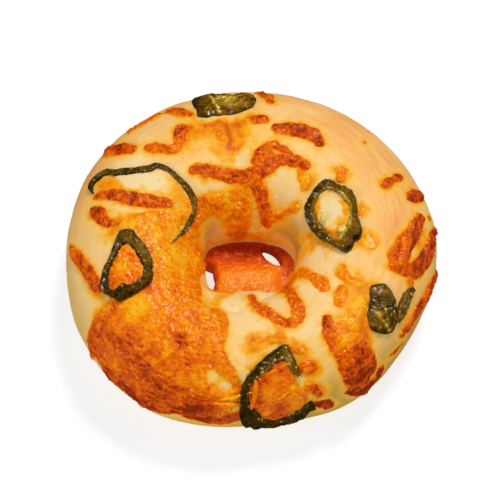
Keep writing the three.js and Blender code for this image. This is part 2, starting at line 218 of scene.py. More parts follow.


# Places, half sizes in degrees and amounts of the peach tan of baking, and of the ochre of the lower
# sides and of the far wall of the hole, over a crust that is pale elsewhere. The ochre is partly
# browner baked crust and partly painted shade on the lower sides and in the hole.
TANNED = (
    (62, 42, 50, 30, 0.5), (15, 60, 40, 28, 0.42), (140, 40, 34, 26, 0.5), (90, 88, 14, 20, 0.3),
    (0, -40, 720, 30, 0.6), (330, 40, 20, 20, 0.35), (302, 104, 9, 10, 0.35), (118, 92, 9, 14, 0.4),
    (52, 82, 14, 12, 0.25), (0, 78, 16, 12, 0.25), (280, 88, 8, 8, 0.25), (152, 68, 5, 12, -0.4),
    (380, 112, 12, 10, -0.9), (72, 112, 8, 10, -0.4), (149, 84, 5, 14, -0.5), (126, 84, 12, 14, 0.3),
    (155, 27, 8, 12, 0.35),
)
OCHRE = (
    (330, 6, 46, 26, 1.0), (299, 26, 10, 16, 0.45), (285, -4, 34, 22, 0.9), (205, 8, 38, 34, 0.6),
    (165, 40, 20, 20, 0.2), (0, -50, 720, 34, 0.5), (312, 50, 18, 20, 0.3), (12, 160, 30, 18, 0.9),
    (142, 160, 20, 22, 0.85), (52, 162, 36, 22, 0.9),
)
DOUGH_OVERS = np.concatenate([
    np.linspace(-26, 200, 160, endpoint=False), np.linspace(200, 334, 40, endpoint=False),
])
DOUGH_AZIMUTHS = np.linspace(0, 360, 440, endpoint=False)
# The streaks of the skin are long round the ring and close together over it, by these scales.
STREAKS_OVER, STREAKS_ROUND = 16 / 57.3, 5


def patches(azimuth, over, table):
    """Sum of the amounts in a table, each one falling off as a bell curve over its half sizes."""
    total = np.zeros(np.broadcast(azimuth, over).shape)
    for mid_azimuth, mid_over, half_azimuth, half_over, amount in table:
        across = wrapped(azimuth - mid_azimuth, -180.0) / half_azimuth
        along = wrapped(over - mid_over, -180.0) / half_over
        total += amount * np.exp(-across ** 2 - along ** 2)
    return total


dough_azimuth, dough_over = np.meshgrid(DOUGH_AZIMUTHS, DOUGH_OVERS, indexing="ij")
dough_points = crust(dough_azimuth, dough_over)
dough = piece(
    "dough_ring", dough_points, [grid_faces(*dough_azimuth.shape, True, True)],
    {
        "tan": np.clip(patches(dough_azimuth, dough_over, TANNED), -0.3, 1),
        "ochre": np.clip(patches(dough_azimuth, dough_over, OCHRE), 0, 1),
        "round": dough_over * STREAKS_OVER,
        "azimuth_x": np.cos(np.radians(dough_azimuth)) * STREAKS_ROUND,
        "azimuth_y": np.sin(np.radians(dough_azimuth)) * STREAKS_ROUND,
    },
    "crust", "bagel",
)


class Wire:
    """One output in a material. Arithmetic on wires and numbers adds Math nodes to the material."""

    def __init__(self, finish, socket):
        self.finish, self.socket = finish, socket

    def maths(self, operation, *values):
        return self.finish.add("Math", {"operation": operation}, *values)

    def __add__(self, other):
        return self.maths("ADD", self, other)

    def __sub__(self, other):
        return self.maths("SUBTRACT", self, other)

    def __rsub__(self, other):
        return self.maths("SUBTRACT", other, self)

    def __mul__(self, other):
        return self.maths("MULTIPLY", self, other)

    __radd__, __rmul__ = __add__, __mul__

    def clipped(self):
        """The value kept within 0 and 1."""
        return self.finish.add("Clamp", {}, self)

    def between(self, low, high):
        """0 below low, 1 above high and smooth between them."""
        return self.finish.add("MapRange", {"interpolation_type": "SMOOTHSTEP"}, self, low, high)


def sRGB(red, green, blue):
    """A colour given by its display values from 0 to 255, as the linear values that a shader takes."""
    shown = np.array([red, green, blue]) / 255
    linear = np.where(shown < 0.04045, shown / 12.92, ((shown + 0.055) / 1.055) ** 2.4)
    return (*linear.tolist(), 1.0)


class Finish:
    """A material built up node by node around one Principled shader with fixed settings."""

    def __init__(self, name, **settings):
        self.material = bpy.data.materials.new(name)
        self.material.use_nodes = True
        self.nodes, self.links = self.material.node_tree.nodes, self.material.node_tree.links
        self.shader = self.nodes["Principled BSDF"]
        for setting, value in settings.items():
            self.shader.inputs[setting.replace("_", " ")].default_value = value
        coordinates = self.nodes.new("ShaderNodeTexCoord")
        self.place = Wire(self, coordinates.outputs["Object"])

    def add(self, kind, settings, *values, output=0, **named):
        """A node of the given kind: its settings first, then the values or wires of its sockets."""
        node = self.nodes.new("ShaderNode" + kind)
        for setting, value in settings.items():
            if setting == "stops":
                elements = node.color_ramp.elements
                while len(elements) < len(value):
                    elements.new(0.5)
                for element, (place, colour) in zip(elements, value):
                    element.position, element.color = place, colour
            else:
                setattr(node, setting, value)
        sockets = [(node.inputs[i], value) for i, value in enumerate(values) if value is not None]
        sockets += [(node.inputs[key.replace("_", " ")], value) for key, value in named.items()]
        for socket, value in sockets:
            if isinstance(value, Wire):
                self.links.new(value.socket, socket)
            else:
                socket.default_value = value
        return Wire(self, node.outputs[output])

    def note(self, name):
        """A number carried by the mesh's points."""
        return self.add("Attribute", {"attribute_name": name}, output="Fac")

    def noise(self, size, detail):
        """Smooth noise from 0 to 1 with features of about size mm."""
        return self.add("TexNoise", {}, Vector=self.place, Scale=1 / (size * MM), Detail=detail)

    def laid_noise(self, notes, scale, **named):
        """Noise that follows the surface, at the place that three of its notes give."""
        place = self.add("CombineXYZ", {}, *map(self.note, notes))
        return self.add("TexNoise", {}, Vector=place, Scale=scale, **named)

    def cells(self, size):
        """Smoothed distance to the nearest of scattered points that are about size mm apart."""
        return self.add("TexVoronoi", {"feature": "SMOOTH_F1"}, Vector=self.place, Scale=1 / (size * MM))

    def mix(self, share, first, second):
        """The first colour where share is 0 and the second where it is 1."""
        return self.add("Mix", {"data_type": "RGBA"}, share, *[None] * 5, first, second, output=2)

    def ramp(self, share, *stops):
        """Colours along a share from 0 to 1, each stop a place and a display colour."""
        return self.add("ValToRGB", {"stops": [(place, sRGB(*shown)) for place, shown in stops]}, share)

    def bump(self, height, distance, strength):
        """Relief of the given height and distance in mm."""
        return self.add("Bump", {}, Strength=strength, Distance=distance * MM, Height=height)

    def wire(self, **sockets):
        """Links the outputs to the shader's sockets."""
        for name, value in sockets.items():
            self.links.new(value.socket, self.shader.inputs[name.replace("_", " ")])

    def on(self, *objects):
        """Covers the objects with this finish alone."""
        for made in objects:
            made.data.materials.clear()
            made.data.materials.append(self.material)


baked = Finish(
    "baked_crust", IOR=1.42, Specular_IOR_Level=0.22, Specular_Tint=(1, 0.85, 0.65, 1),
    Coat_Weight=0.03, Coat_Roughness=0.35, Subsurface_Weight=0.12, Subsurface_Scale=0.003,
)
tan, oil, ochre = baked.note("tan"), baked.note("oil"), baked.note("ochre")
streaks = baked.laid_noise(("round", "azimuth_x", "azimuth_y"), 1.1, Detail=5.0, Roughness=0.65)
broad, fine = baked.noise(9, 3.0), baked.noise(1.3, 3.0)
lined = (streaks - 0.5) * (tan.clipped() * 1.8 + 0.3)
browned = (tan * 0.84 + 0.16 + (broad - 0.5) * 0.6 + lined + (fine - 0.5) * 0.16).clipped()
skin = baked.ramp(
    browned, (0.0, (248, 220, 162)), (0.18, (254, 212, 142)), (0.45, (253, 194, 114)),
    (0.75, (250, 174, 94)), (1.0, (238, 148, 74)),
)
# The ochre mixed in here is partly browner baked crust and partly painted shade on the lower sides and
# in the hole.
skin = baked.mix((ochre + (broad - 0.5) * 0.12).clipped(), skin, sRGB(208, 158, 54))
soaked = (oil + (broad - 0.5) * 0.2 + (fine - 0.5) * 0.3).clipped()
oily = baked.ramp(
    soaked + (fine - 0.5) * 0.25 + (streaks - 0.5) * 0.2, (0.0, (254, 206, 96)), (0.3, (254, 192, 56)),
    (0.6, (252, 164, 16)), (0.82, (242, 134, 4)), (1.0, (220, 98, 2)),
)
pores, grain = baked.noise(0.45, 2.0), baked.noise(1.1, 4.0)
baked.wire(
    Base_Color=baked.mix(soaked.between(0.02, 0.55), skin, oily),
    Roughness=0.52 - soaked * 0.16 + (fine - 0.5) * 0.2,
    Normal=baked.bump(streaks * 0.5 + grain * 0.35 + pores * 0.15, 0.35, 0.5),
)
baked.on(dough)

# Cheese melted on the crust
# Shreds of orange cheddar and the sheets that they ran together into, fused to the crust and browned
# by the oven. Each keeps a raised, crinkled bar or skin with a crisp edge that sinks into the dough, and
# its oil has soaked a yellow-orange halo into the crust around it.

# How browned each shred is, its height in mm and the places that it runs through with its width there.
SHREDS = (
    # Far side, left of the seam
    (0.7, 0.6, ((90, 126, 4.4), (98, 126, 4.2), (107, 123, 4.2), (115, 117, 4.4), (122, 111, 4.0),
                (125, 109, 3.2))),
    (0.78, 0.6, ((118, 77, 3.6), (119.5, 79, 4.6), (121.5, 82, 3.6))),
    (0.62, 0.5, ((121, 84, 3.0), (125, 88, 3.4), (129, 87, 3.6), (132, 82, 4.0), (134.5, 76, 4.0))),
    (0.78, 0.65, ((139, 65, 3.2), (140, 57, 5.2), (141.5, 48, 5.4), (142, 38, 4.0))),
    (0.6, 0.45, ((112.5, 66, 2.6), (115, 58, 4.4), (117, 49, 4.2))),
    (0.6, 0.5, ((121, 46, 2.4), (126, 44, 2.8), (132, 41, 2.4))),
    (0.68, 0.55, ((161.5, 55, 2.0), (160.5, 66, 3.4), (160, 80, 4.4), (159, 94, 4.8), (157, 105, 4.4),
                 (154, 113, 3.0))),
    (0.8, 0.6, ((167, 56, 3.6), (169, 63, 4.6), (172.5, 71, 3.6))),
    (0.66, 0.6, ((177, 25, 2.0), (181, 34, 3.4), (186, 43, 4.2), (192, 50, 4.4), (199, 55, 3.6))),
    (0.5, 0.35, ((101, 96, 1.8), (103, 93, 3.0), (105, 88, 2.4))),
    (0.35, 0.3, ((110, 87, 1.6), (113, 84, 2.2))),
    # Far side, right of the seam
    (0.72, 0.65, ((54, 106, 3.4), (60, 106, 4.2), (66, 107, 4.0), (73, 113, 4.2), (80, 120, 5.0),
                 (88, 126, 5.2))),
    (0.7, 0.6, ((67, 103, 2.4), (71, 100.5, 2.8), (77, 99.5, 2.8), (81, 105, 3.0), (84, 114, 3.6))),
    (0.62, 0.6, ((85, 128, 5.0), (79, 136, 4.6), (73, 146, 4.4), (68, 156, 4.2), (63, 166, 2.6))),
    (0.45, 0.4, ((66, 157, 3.0), (60, 158, 3.6), (54, 153, 2.6), (47, 145, 1.8), (40, 136, 2.0))),
    (0.3, 0.35, ((45, 119, 2.6), (50, 114, 3.2), (56, 108, 3.0))),
    (0.82, 0.65, ((55.5, 86, 3.4), (59, 83.5, 5.0), (66, 84, 5.2), (72, 86, 4.8), (76.5, 87, 3.0))),
    (0.78, 0.5, ((83, 81, 3.4), (86.5, 82.5, 3.4))),
    (0.72, 0.55, ((81.5, 60, 2.6), (83, 52, 3.8), (85.5, 44, 3.4))),
    (0.45, 0.5, ((35, 95, 3.0), (38, 91.5, 3.4))),
    (0.82, 0.5, ((23.5, 70, 2.8), (25, 64, 3.6))),
    (0.82, 0.5, ((25.5, 58, 3.0), (26.5, 50, 3.0))),
    (0.9, 0.65, ((18, 49, 3.2), (19, 42, 4.8), (20.5, 31, 3.6))),
    (0.5, 0.3, ((43.3, 59, 1.2), (43.7, 57, 1.3))),
    (0.9, 0.4, ((11.7, 31, 1.2), (12.3, 28, 1.3))),
    (0.32, 0.16, ((356, 87, 3.4), (360, 91, 4.4))),
    (0.3, 0.14, ((12.5, 94, 2.0), (15.5, 92, 2.4))),
    # Right side
    (0.7, 0.65, ((350, 60, 5.4), (354, 62, 6.6), (359, 59.5, 5.8), (365, 52, 5.0), (370.5, 44, 3.4))),
    (0.5, 0.5, ((356, 67.5, 3.0), (353, 67.5, 4.4), (349.5, 64, 4.4))),
    (0.82, 0.65, ((349.5, 51, 4.4), (351, 43.5, 5.2), (355.5, 36.5, 5.4), (361, 30.5, 5.2),
                 (366, 25, 4.4), (369.5, 18, 3.2))),
    (0.5, 0.45, ((350, 48, 4.0), (347.5, 45, 3.4), (345.5, 42, 2.2))),
    (0.78, 0.65, ((331, 19, 2.8), (337, 17, 4.4), (345, 14, 4.8), (352, 11, 4.6), (357, 7, 3.0))),
    (0.8, 0.35, ((323.5, 12, 1.2), (327, 8, 1.8), (331, 5, 1.4))),
    # Near side
    (0.55, 0.6, ((274, 140, 2.4), (277, 128, 3.4), (281.5, 116, 3.8), (286, 106, 3.6),
                 (291, 97.5, 3.2), (296.5, 94.5, 3.4), (301, 98, 4.2), (304, 108, 4.2),
                 (307, 121, 3.8), (311, 134, 3.2), (315, 146, 2.4))),
    (0.38, 0.5, ((325, 103, 3.0), (327.5, 112, 3.8), (329.5, 122, 3.4), (332.5, 133, 2.8),
                 (337, 145, 2.0))),
    (0.35, 0.4, ((335, 82, 2.2), (335.5, 91, 2.8), (337.5, 99, 3.4), (341, 102, 2.8))),
    (0.4, 0.45, ((321.5, 86, 3.0), (325.5, 90, 3.8), (329, 91, 3.0))),
    (0.66, 0.6, ((311.5, 84, 3.0), (308.5, 76, 3.8), (307, 62, 4.0), (306.5, 45, 4.0), (307, 25, 4.0))),
    (0.82, 0.65, ((305.5, 6, 3.0), (308, 0, 4.2), (312, -2, 4.6), (316, 2, 4.0), (318.5, 8, 2.8))),
    (0.82, 0.5, ((311, -5, 3.4), (312.5, -16, 2.4))),
    (0.6, 0.55, ((291.5, 54, 3.0), (294.5, 51, 4.6))),
    (0.4, 0.4, ((289.5, 74, 2.2), (293, 69, 2.8))),
    (0.35, 0.35, ((281.5, 83, 1.8), (286.5, 84, 2.4))),
    (0.3, 0.3, ((272.5, 80, 1.8), (275.5, 84, 2.2))),
    (0.68, 0.45, ((292, 34, 2.4), (294, 27, 3.4), (295, 20, 2.6))),
    (0.9, 0.6, ((293.5, 8, 2.8), (296.5, 2, 3.8), (298.5, -6, 3.0))),
    (0.72, 0.4, ((250, 3, 3.6), (256, 1, 5.4), (262, 1, 6.0), (266, 5, 5.0))),
)
# Outlines of the sheets, their thickness in mm and how browned they are where no spot changes it.
SHEETS = (
    ((
        (205.5, 58), (206, 42), (208, 26), (210, 8), (211.5, -6), (216, -2), (221, -4), (230, -6),
        (240, -7), (245, -1), (250, 4), (257, 5), (262, 9), (266, 22), (268, 42), (266, 57),
        (263, 66), (259.5, 78), (259.5, 92), (258, 103), (253, 112.5), (246, 114.5), (240, 113),
        (235, 119), (228, 128), (220, 137), (212, 147), (203, 156), (196, 165), (188, 173),
        (179, 176), (173, 160), (170, 142), (166, 131), (157, 131), (150, 129), (152, 122),
        (156.5, 119), (159.5, 110), (163, 101), (167, 92), (171, 85), (175, 80), (180, 80),
        (186, 76), (191, 71), (198, 66),
    ), 0.95, 0.38),
    ((
        (305, 2), (304, 20), (304, 45), (305, 66), (308, 82), (312, 84), (317, 76), (323, 80),
        (330, 78), (331, 70), (322, 62), (319, 50), (318.5, 32), (317, 16), (313, 8), (309, 1),
    ), 0.9, 0.5),
    ((
        (272, 6), (270, 20), (270, 40), (273, 54), (278, 64), (284, 66), (287, 56), (288, 42),
        (290.5, 28), (290.5, 14), (285, 1), (280, -5), (274, -3),
    ), 0.8, 0.36),
    ((
        (150, 124), (140, 124), (124.5, 132), (111.5, 134), (96.5, 131), (88, 134.5), (84.5, 145.5),
        (83, 158), (84, 170), (92, 174), (110, 172), (120, 166), (123, 154), (131, 150), (146, 148),
        (160, 150), (164, 140), (158, 130),
    ), 0.5, 0.42),
)
# Outlines of the films that ran out too thin to stand proud, and how deeply each one stains the crust.
FILMS = (
    ((
        (134, 129), (124.5, 132), (111.5, 134), (103.5, 131), (96.5, 131), (86, 133.5), (83, 145.5),
        (81.5, 167), (84, 184), (100.5, 190), (121.5, 183.5), (121.5, 161.5), (131, 155), (139.5, 144),
    ), 0.7),
    ((
        (150, 121), (140, 122), (132, 128), (134, 145), (146, 149), (158, 152), (168, 150), (166, 138),
        (160, 131),
    ), 0.75),
    ((
        (98, 88), (93, 95), (93, 104), (98, 116), (104, 119), (111, 113), (116, 100), (112, 90),
        (105, 86),
    ), 0.5),
    ((
        (382, 152), (380, 141), (375.5, 128.5), (367.5, 121), (358.5, 119), (355.5, 128),
        (362.5, 142.5), (374.5, 155),
    ), 0.6),
    ((
        (111.5, 66), (107.5, 74), (101, 77.5), (93, 76.5), (88, 72.5), (84, 74), (83.5, 85.5), (88, 93),
        (91, 99.5), (94.5, 105.5), (97.5, 113), (100.5, 106), (101.5, 98), (107, 94.5), (113, 92),
        (119, 86.5), (120, 78.5), (118, 66), (114, 56),
    ), 0.62),
    ((
        (153.5, 46), (151, 59.5), (148.5, 74), (149, 82), (149, 92), (146, 104), (138, 96), (135, 104),
        (135, 120), (142, 134), (158.5, 132), (171.5, 123.5), (177.5, 111), (174, 100.5), (164, 100),
        (160, 92), (163, 80), (163, 66.5), (160, 50),
    ), 0.62),
    ((
        (170, 60), (165, 72), (166, 84), (168, 92), (176, 84), (184, 72), (182, 64), (176, 58),
    ), 0.45),
    ((
        (84, 128), (70, 135), (64, 150), (60, 166), (80, 172), (110, 178), (150, 172), (172, 168),
        (176, 186), (120, 194), (60, 190), (20, 186), (20, 176), (50, 172),
    ), 0.4),
    ((
        (318, 66), (316, 78), (322, 88), (332, 96), (340, 92), (341, 80), (339, 66), (330, 62),
    ), 0.5),
    ((
        (355, 108), (360, 122), (370, 130), (384, 132), (396, 124), (397, 108), (388, 99), (370, 99),
    ), 0.5),
)
# Places, half sizes in degrees and amounts of extra browning, or of yellow where it is less. The spots
# just inside the left slice and the near slice also paint the shade that the slices' walls cast there.
BROWNED = (
    (156, 124, 12, 10, -0.15), (174, 100, 9, 12, -0.15), (4, 46, 6, 9, 0.25),
    (210, 34, 5, 26, 0.24), (221, 6, 17, 15, 0.42), (236, -4, 14, 12, 0.42), (252, 14, 9, 14, 0.55),
    (224, 44, 11, 16, 0.34), (240, 76, 4, 6, 0.42), (239, 32, 10, 16, 0.36), (246, 62, 6, 14, 0.26),
    (192, 125, 18, 30, -0.25), (214, 76, 6, 12, -0.4), (262, 30, 3, 12, -0.3), (196, 81, 10, 18, 0.42),
    (196, 80, 5.5, 10, -0.5), (254, 26, 5, 8, 0.2), (249, 45, 4, 7, -0.2), (162, 154, 10, 12, 0.2),
    (311, 20, 8, 24, 0.45), (314, 62, 6, 12, -0.28), (326, 74, 8, 9, -0.45), (309, 82, 4, 6, 0.15),
    (282, 14, 4, 7, 0.1), (281, 40, 6, 20, -0.1), (273, 30, 2.5, 16, 0.45), (282, 2, 8, 5, 0.35),
    (281, 61, 7, 7, 0.1), (167, 130, 8, 10, -0.15), (161, 66, 4, 10, 0.1), (161, 88, 4, 8, 0.15),
    (174, 86, 5, 8, -0.25), (112, 141, 5, 8, -0.25), (280.5, 16, 3, 8, 0.35), (282.5, 56, 3, 7, 0.35),
    (276.5, 46, 2.5, 6, 0.4), (210, 90, 4, 6, 0.3), (312, 43.5, 6, 8, 0.25),
    (108, 139, 10, 12, -0.16), (282.5, 35, 5, 20, 0.16),
)
# Places, half sizes in degrees and shares of the sheets' thickness that is lost there.
THIN = (
    (150, 124, 6, 8, 0.8), (160, 114, 7, 7, 0.5), (170, 84, 8, 6, 0.8),
    (172, 160, 12, 14, 0.5), (240, 116, 14, 5, 0.5), (284, 0, 8, 10, 0.5), (320, 78, 12, 8, 0.7),
)
# Places, half sizes in degrees and shares of the skin's folds that are smoothed out there.
CALM = ((280, 30, 9, 32, 0.8), (211, 92, 10, 14, 0.6), (184, 126, 14, 22, 0.25))
# Outlines of bare patches of dough that the sheets leave.
BARE = (
    ((253.5, 57), (256.5, 58.5), (260.5, 53), (264, 45), (263.5, 38), (259.5, 40), (256, 46)),
    ((213, 5), (216.5, 7), (218, 1), (216, -8), (213.5, -6)),
)
# Places, half sizes in degrees and amounts of oil soaked into the crust beyond the halos.
SOAKED = (
    (320.5, 56, 4, 9, 0.7), (123, 120, 4, 6, 0.35), (379, 114, 10, 9, -1.1), (2.5, 45, 4, 6, 0.5),
    (129, 145, 7, 7, 0.25), (98, 150, 9, 8, 0.15), (101, 181, 26, 7, 0.35), (168, 156, 16, 24, 0.6),
    (110.5, 84, 2.6, 4, 0.4), (102, 90, 3, 5, 0.45), (104.5, 85, 2.6, 3.5, 0.35), (96, 83, 3, 4, 0.35),
    (90.5, 79, 3, 4, 0.3), (97, 100, 1.2, 12, 0.2), (95, 96, 4, 4, -0.2),
    (45, 112, 5, 8, 0.5), (43, 134, 5, 8, 0.4), (12, 141, 3, 5, 0.25),
    (359, 90, 5, 7, 0.45), (14, 92, 4, 4, 0.25), (4, 117, 5, 8, 0.3), (36, 94, 6, 6, 0.4),
    (275, 141, 4, 10, 0.6), (313, 146, 12, 13, 0.7), (328, 150, 12, 12, 0.6), (342, 160, 14, 12, 0.4),
    (283, 86, 6, 5, 0.55), (273, 82, 5, 6, 0.5), (291, 70, 5, 8, 0.5), (294, 27, 5, 12, 0.4),
    (336, 33, 6, 4, 0.55),
    (155, 66, 4, 12, 0.35), (174, 84, 5, 12, 0.6), (150, 77, 3.5, 9, -1.0), (147, 91, 3.5, 10, -1.0),
    (269, 70, 5, 8, 0.35), (101, 104, 1.3, 16, 0.35), (120, 163, 10, 10, 0.3), (70, 182, 20, 6, 0.3),
    (144, 160, 13, 12, 0.22), (44, 160, 26, 16, 0.16), (391, 118, 3, 7, 0.5), (367, 110, 3, 7, 0.45),
    (27, 130, 5, 8, 0.5), (75, 107, 6, 6, 0.7), (104, 98, 8, 9, 0.25), (337, 74, 6, 8, 0.5),
    (320.5, 70, 5, 8, 0.5), (288, 91, 5, 6, 0.35), (354, 154, 8, 10, 0.25), (330, 88, 5, 6, 0.3),
    (230, 150, 10, 14, 0.95), (244, 126, 7, 12, 0.5), (246, 150, 9, 16, 0.7), (11.5, 118, 6, 8, 0.6),
    (352.5, 117.5, 6, 6, 0.45), (17, 105, 5, 7, 0.55), (24, 101, 4, 6, 0.4), (1, 148, 6, 8, 0.55),
    (95, 103, 6, 8, 0.4), (88, 93, 6, 7, 0.35), (118, 83, 5, 6, 0.35), (121.5, 92, 5, 6, 0.3),
    (257, 48, 2.5, 6, 0.4), (277.5, 71, 3, 6, 0.4), (272, 60, 3, 6, 0.4), (262, 0, 5, 8, 0.5),
    (254, -2, 6, 8, 0.4), (203, 47, 6, 8, 0.35), (318.5, 45, 5, 8, 0.4), (321.5, 109, 5, 6, -0.4),
    (304.5, 82, 4, 5, -0.35), (338, 88.5, 5, 6, 0.3), (297, 49.5, 4, 6, 0.35),
)
# Steps in degrees of the chart on which the cheese is worked out, and the azimuths that part its two
# pieces.
CHEESE_AZIMUTH_STEP, CHEESE_OVER_STEP = 0.36, 1.0
LEFT_FROM, LEFT_TO = 130, 269.5
# How far in degrees the edge and the oil of a shred or sheet can reach beyond its places.
NEARBY = (14, 30)
# How softly in mm melted forms run together, and the width of their edges.
SOFTNESS, SHRED_EDGE, SHEET_EDGE = 0.12, 0.9, 2.6
# Heights in mm where nothing melted, of the least cheese that shows, of the lowest place of its upper
# face and of the rim; how deep the lower face is sunk, and how many cells it runs on past what shows.
BARE_HEIGHT, LEAST_SHOWN, LOWEST_HEIGHT, RIM_HEIGHT = -1.2, 0.02, -0.5, -0.25
CHEESE_SUNK, RUN_ON = 0.7, 2
# Height, size in mm and seed of what makes the edges waver, in mm, and the edges of the oil, in degrees
# round the ring and over it.
WAVER = ((0.5, 2.6, 21), (0.3, 1.2, 22))
OIL_ROUND, OIL_OVER = ((3.5, 5, 36), (2, 2.2, 37)), ((9, 5, 38), (5, 2.2, 39))
# The folds of the skin are long round the ring and close together over it, by these scales.
FOLDS_ROUND, FOLDS_OVER = 15, 0.34


def smooth_path(path, closed, count):
    """Points evenly spaced in number along a Catmull-Rom curve through the places, whose slope at each
    place is half the step between its neighbours."""
    places = np.array(path, float)
    if closed:
        places = np.concatenate([places[-1:], places, places[:2]])
    else:
        places = np.concatenate([2 * places[:1] - places[1:2], places, 2 * places[-1:] - places[-2:-1]])
    spans = len(places) - 3
    along = np.linspace(0, spans, count, endpoint=not closed)
    span = np.minimum(along.astype(int), spans - 1)
    t = (along - span)[:, None]
    before, start, end, after = (places[span + k] for k in range(4))
    return 0.5 * (
        2 * start + (end - before) * t + (2 * before - 5 * start + 4 * end - after) * t ** 2
        + (3 * start - before - 3 * end + after) * t ** 3
    )


def depth_within(points, others, reach):
    """How far each point lies within balls of the given reach round the others: the most of reach less
    distance, where the distance's square is |p|^2 + |q|^2 - 2 p.q."""
    flat = points.reshape(-1, 3)
    square = (flat ** 2).sum(1)[:, None] + (others ** 2).sum(1)[None, :] - 2 * flat @ others.T
    return (reach - np.sqrt(np.maximum(square, 0))).max(1).reshape(points.shape[:-1])


def encloses(outline, azimuth, over):
    """True where a ray along the azimuths crosses the outline an odd number of times."""
    inside = np.zeros(azimuth.shape, bool)
    for (a0, o0), (a1, o1) in zip(outline, np.roll(outline, -1, axis=0)):
        spans = (o0 > over) != (o1 > over)
        if o0 != o1:
            inside ^= spans & (azimuth < a0 + (over - o0) * (a1 - a0) / (o1 - o0))
    return inside


def bar(inside, rounding):
    """Height of a melted edge as a share: a parabola over the rounding, then level, and a slope down
    outside the edge."""
    rise = 1 - (1 - rising(inside, 0, rounding)) ** 2
    return np.where(inside > 0, rise, inside * 0.8)


cheese_azimuths = np.arange(0, 360, CHEESE_AZIMUTH_STEP)
cheese_overs = np.arange(-30, 190, CHEESE_OVER_STEP)
chart_azimuth, chart_over = np.meshgrid(cheese_azimuths, cheese_overs, indexing="ij")
chart_points = crust(chart_azimuth, chart_over)
waver = mottles(chart_points, WAVER)
raised = np.full(chart_azimuth.shape, np.exp(BARE_HEIGHT / SOFTNESS))
brownness = raised * 0.4
halo = np.zeros(chart_azimuth.shape)


def melt(window, inside, height, rounding, brown):
    """Adds a shred or sheet to the chart: heights blend as the logarithm of summed exponentials, and
    browning as their mean. Oil reaches about 1.7 mm past the edge."""
    share = np.exp(np.maximum(height * bar(inside, rounding), BARE_HEIGHT) / SOFTNESS)
    raised[window] += share
    brownness[window] += share * brown
    oil = np.exp(-np.maximum(-inside, 0) ** 1.3 / 2.0) * (0.4 + 0.25 * brown)
    halo[window] = np.maximum(halo[window], oil)


def reached(places):
    """Columns and rows of the chart that lie near the places."""
    places = np.array(places)[:, :2]
    low, high = places.min(0) - NEARBY, places.max(0) + NEARBY
    columns = np.arange(int(low[0] / CHEESE_AZIMUTH_STEP), int(high[0] / CHEESE_AZIMUTH_STEP))
    rows = np.flatnonzero((cheese_overs > low[1]) & (cheese_overs < high[1]))
    return columns % len(cheese_azimuths), rows


for brown, height, path in SHREDS:
    route = smooth_path(path, False, 60)
    window = np.ix_(*reached(path))
    depth = depth_within(chart_points[window], crust(route[:, 0], route[:, 1]), route[:, 2] / 2)
    melt(window, depth + waver[window], height, SHRED_EDGE, brown)


def signed_depth(outline, window):
    """Distance in mm from the outline, positive inside it."""
    edge = smooth_path(outline, True, 260)
    distance = -depth_within(chart_points[window], crust(edge[:, 0], edge[:, 1]), 0.0)
    azimuth = wrapped(chart_azimuth[window], edge[:, 0].mean() - 180)
    return np.where(encloses(edge, azimuth, chart_over[window]), distance, -distance)


for outline, height, brown in SHEETS:
    window = np.ix_(*reached(outline))
    inside = signed_depth(outline, window) + waver[window] * 1.2
    for bare in BARE:
        inside = np.minimum(inside, 1.6 * waver[window] - signed_depth(bare, window))
    thin = patches(chart_azimuth[window], chart_over[window], THIN) - 0.25 * waver[window]
    melt(window, inside, height * np.clip(1.05 - thin, 0, 1), SHEET_EDGE, brown)

film = np.zeros(chart_azimuth.shape)
for outline, stain in FILMS:
    window = np.ix_(*reached(outline))
    inside = np.clip(0.4 + (signed_depth(outline, window) + 2 * waver[window]) / 4.5, 0, 1)
    film[window] = np.maximum(film[window], stain * inside * inside * (3 - 2 * inside))

melted_height = SOFTNESS * np.log(raised)
level = np.maximum(melted_height, 0)
# The skin is crinkled where it has browned, with blisters, and smoother where it is still yellow.
# This browning also carries the painted shade beside the walls of the slices.
brown_share = brownness / raised + patches(chart_azimuth, chart_over, BROWNED)
brown_share = brown_share * (0.4 + 0.6 * rising(melted_height, 0, 0.45))
# Its folds run round the ring, the way that the shreds lay.
fold_x = FOLDS_ROUND * np.cos(np.radians(chart_azimuth))
fold_y = FOLDS_ROUND * np.sin(np.radians(chart_azimuth))
folded_points = np.stack([fold_x, fold_y, FOLDS_OVER * chart_over], axis=-1)
folded_points = folded_points + 1.5 * mottle(chart_points, 5, 30)[..., None]
folds = wrinkle(folded_points, 2.2, 31) - 0.4
crinkle = wrinkle(chart_points, 1.7, 35) - 0.4
lumps, dots = mottle(chart_points, 3.6, 32), mottle(chart_points, 0.85, 33)
rough_share = np.clip(0.15 + brown_share * 1.2, 0.3, 1)
relief = 0.3 * lumps + rough_share * (0.5 * folds + 0.26 * crinkle + 0.2 * dots)
relief *= 1 - patches(chart_azimuth, chart_over, CALM)
thickness = melted_height + rising(melted_height, 0, 0.4) * relief
# Painted shade: the cheese's colour is darker and browner in the hollows of its relief and lighter on
# its crests.
pits = np.clip(0.5 - relief * 1.1, 0, 1)
# Oil soaks in about the cheese, under the films and in spots of its own, whose edges run unevenly.
oil_azimuth = chart_azimuth + mottles(chart_points, OIL_ROUND)
oil_over = chart_over + mottles(chart_points, OIL_OVER)
soaked_share = np.maximum(np.clip(halo, 0, 1), film) * (0.85 + 0.3 * mottle(chart_points, 3, 34))
soaked_share += patches(oil_azimuth, oil_over, SOAKED)
soaked_share += 0.22 * mottle(folded_points, 1.8, 40) * np.clip(soaked_share, 0, 1)


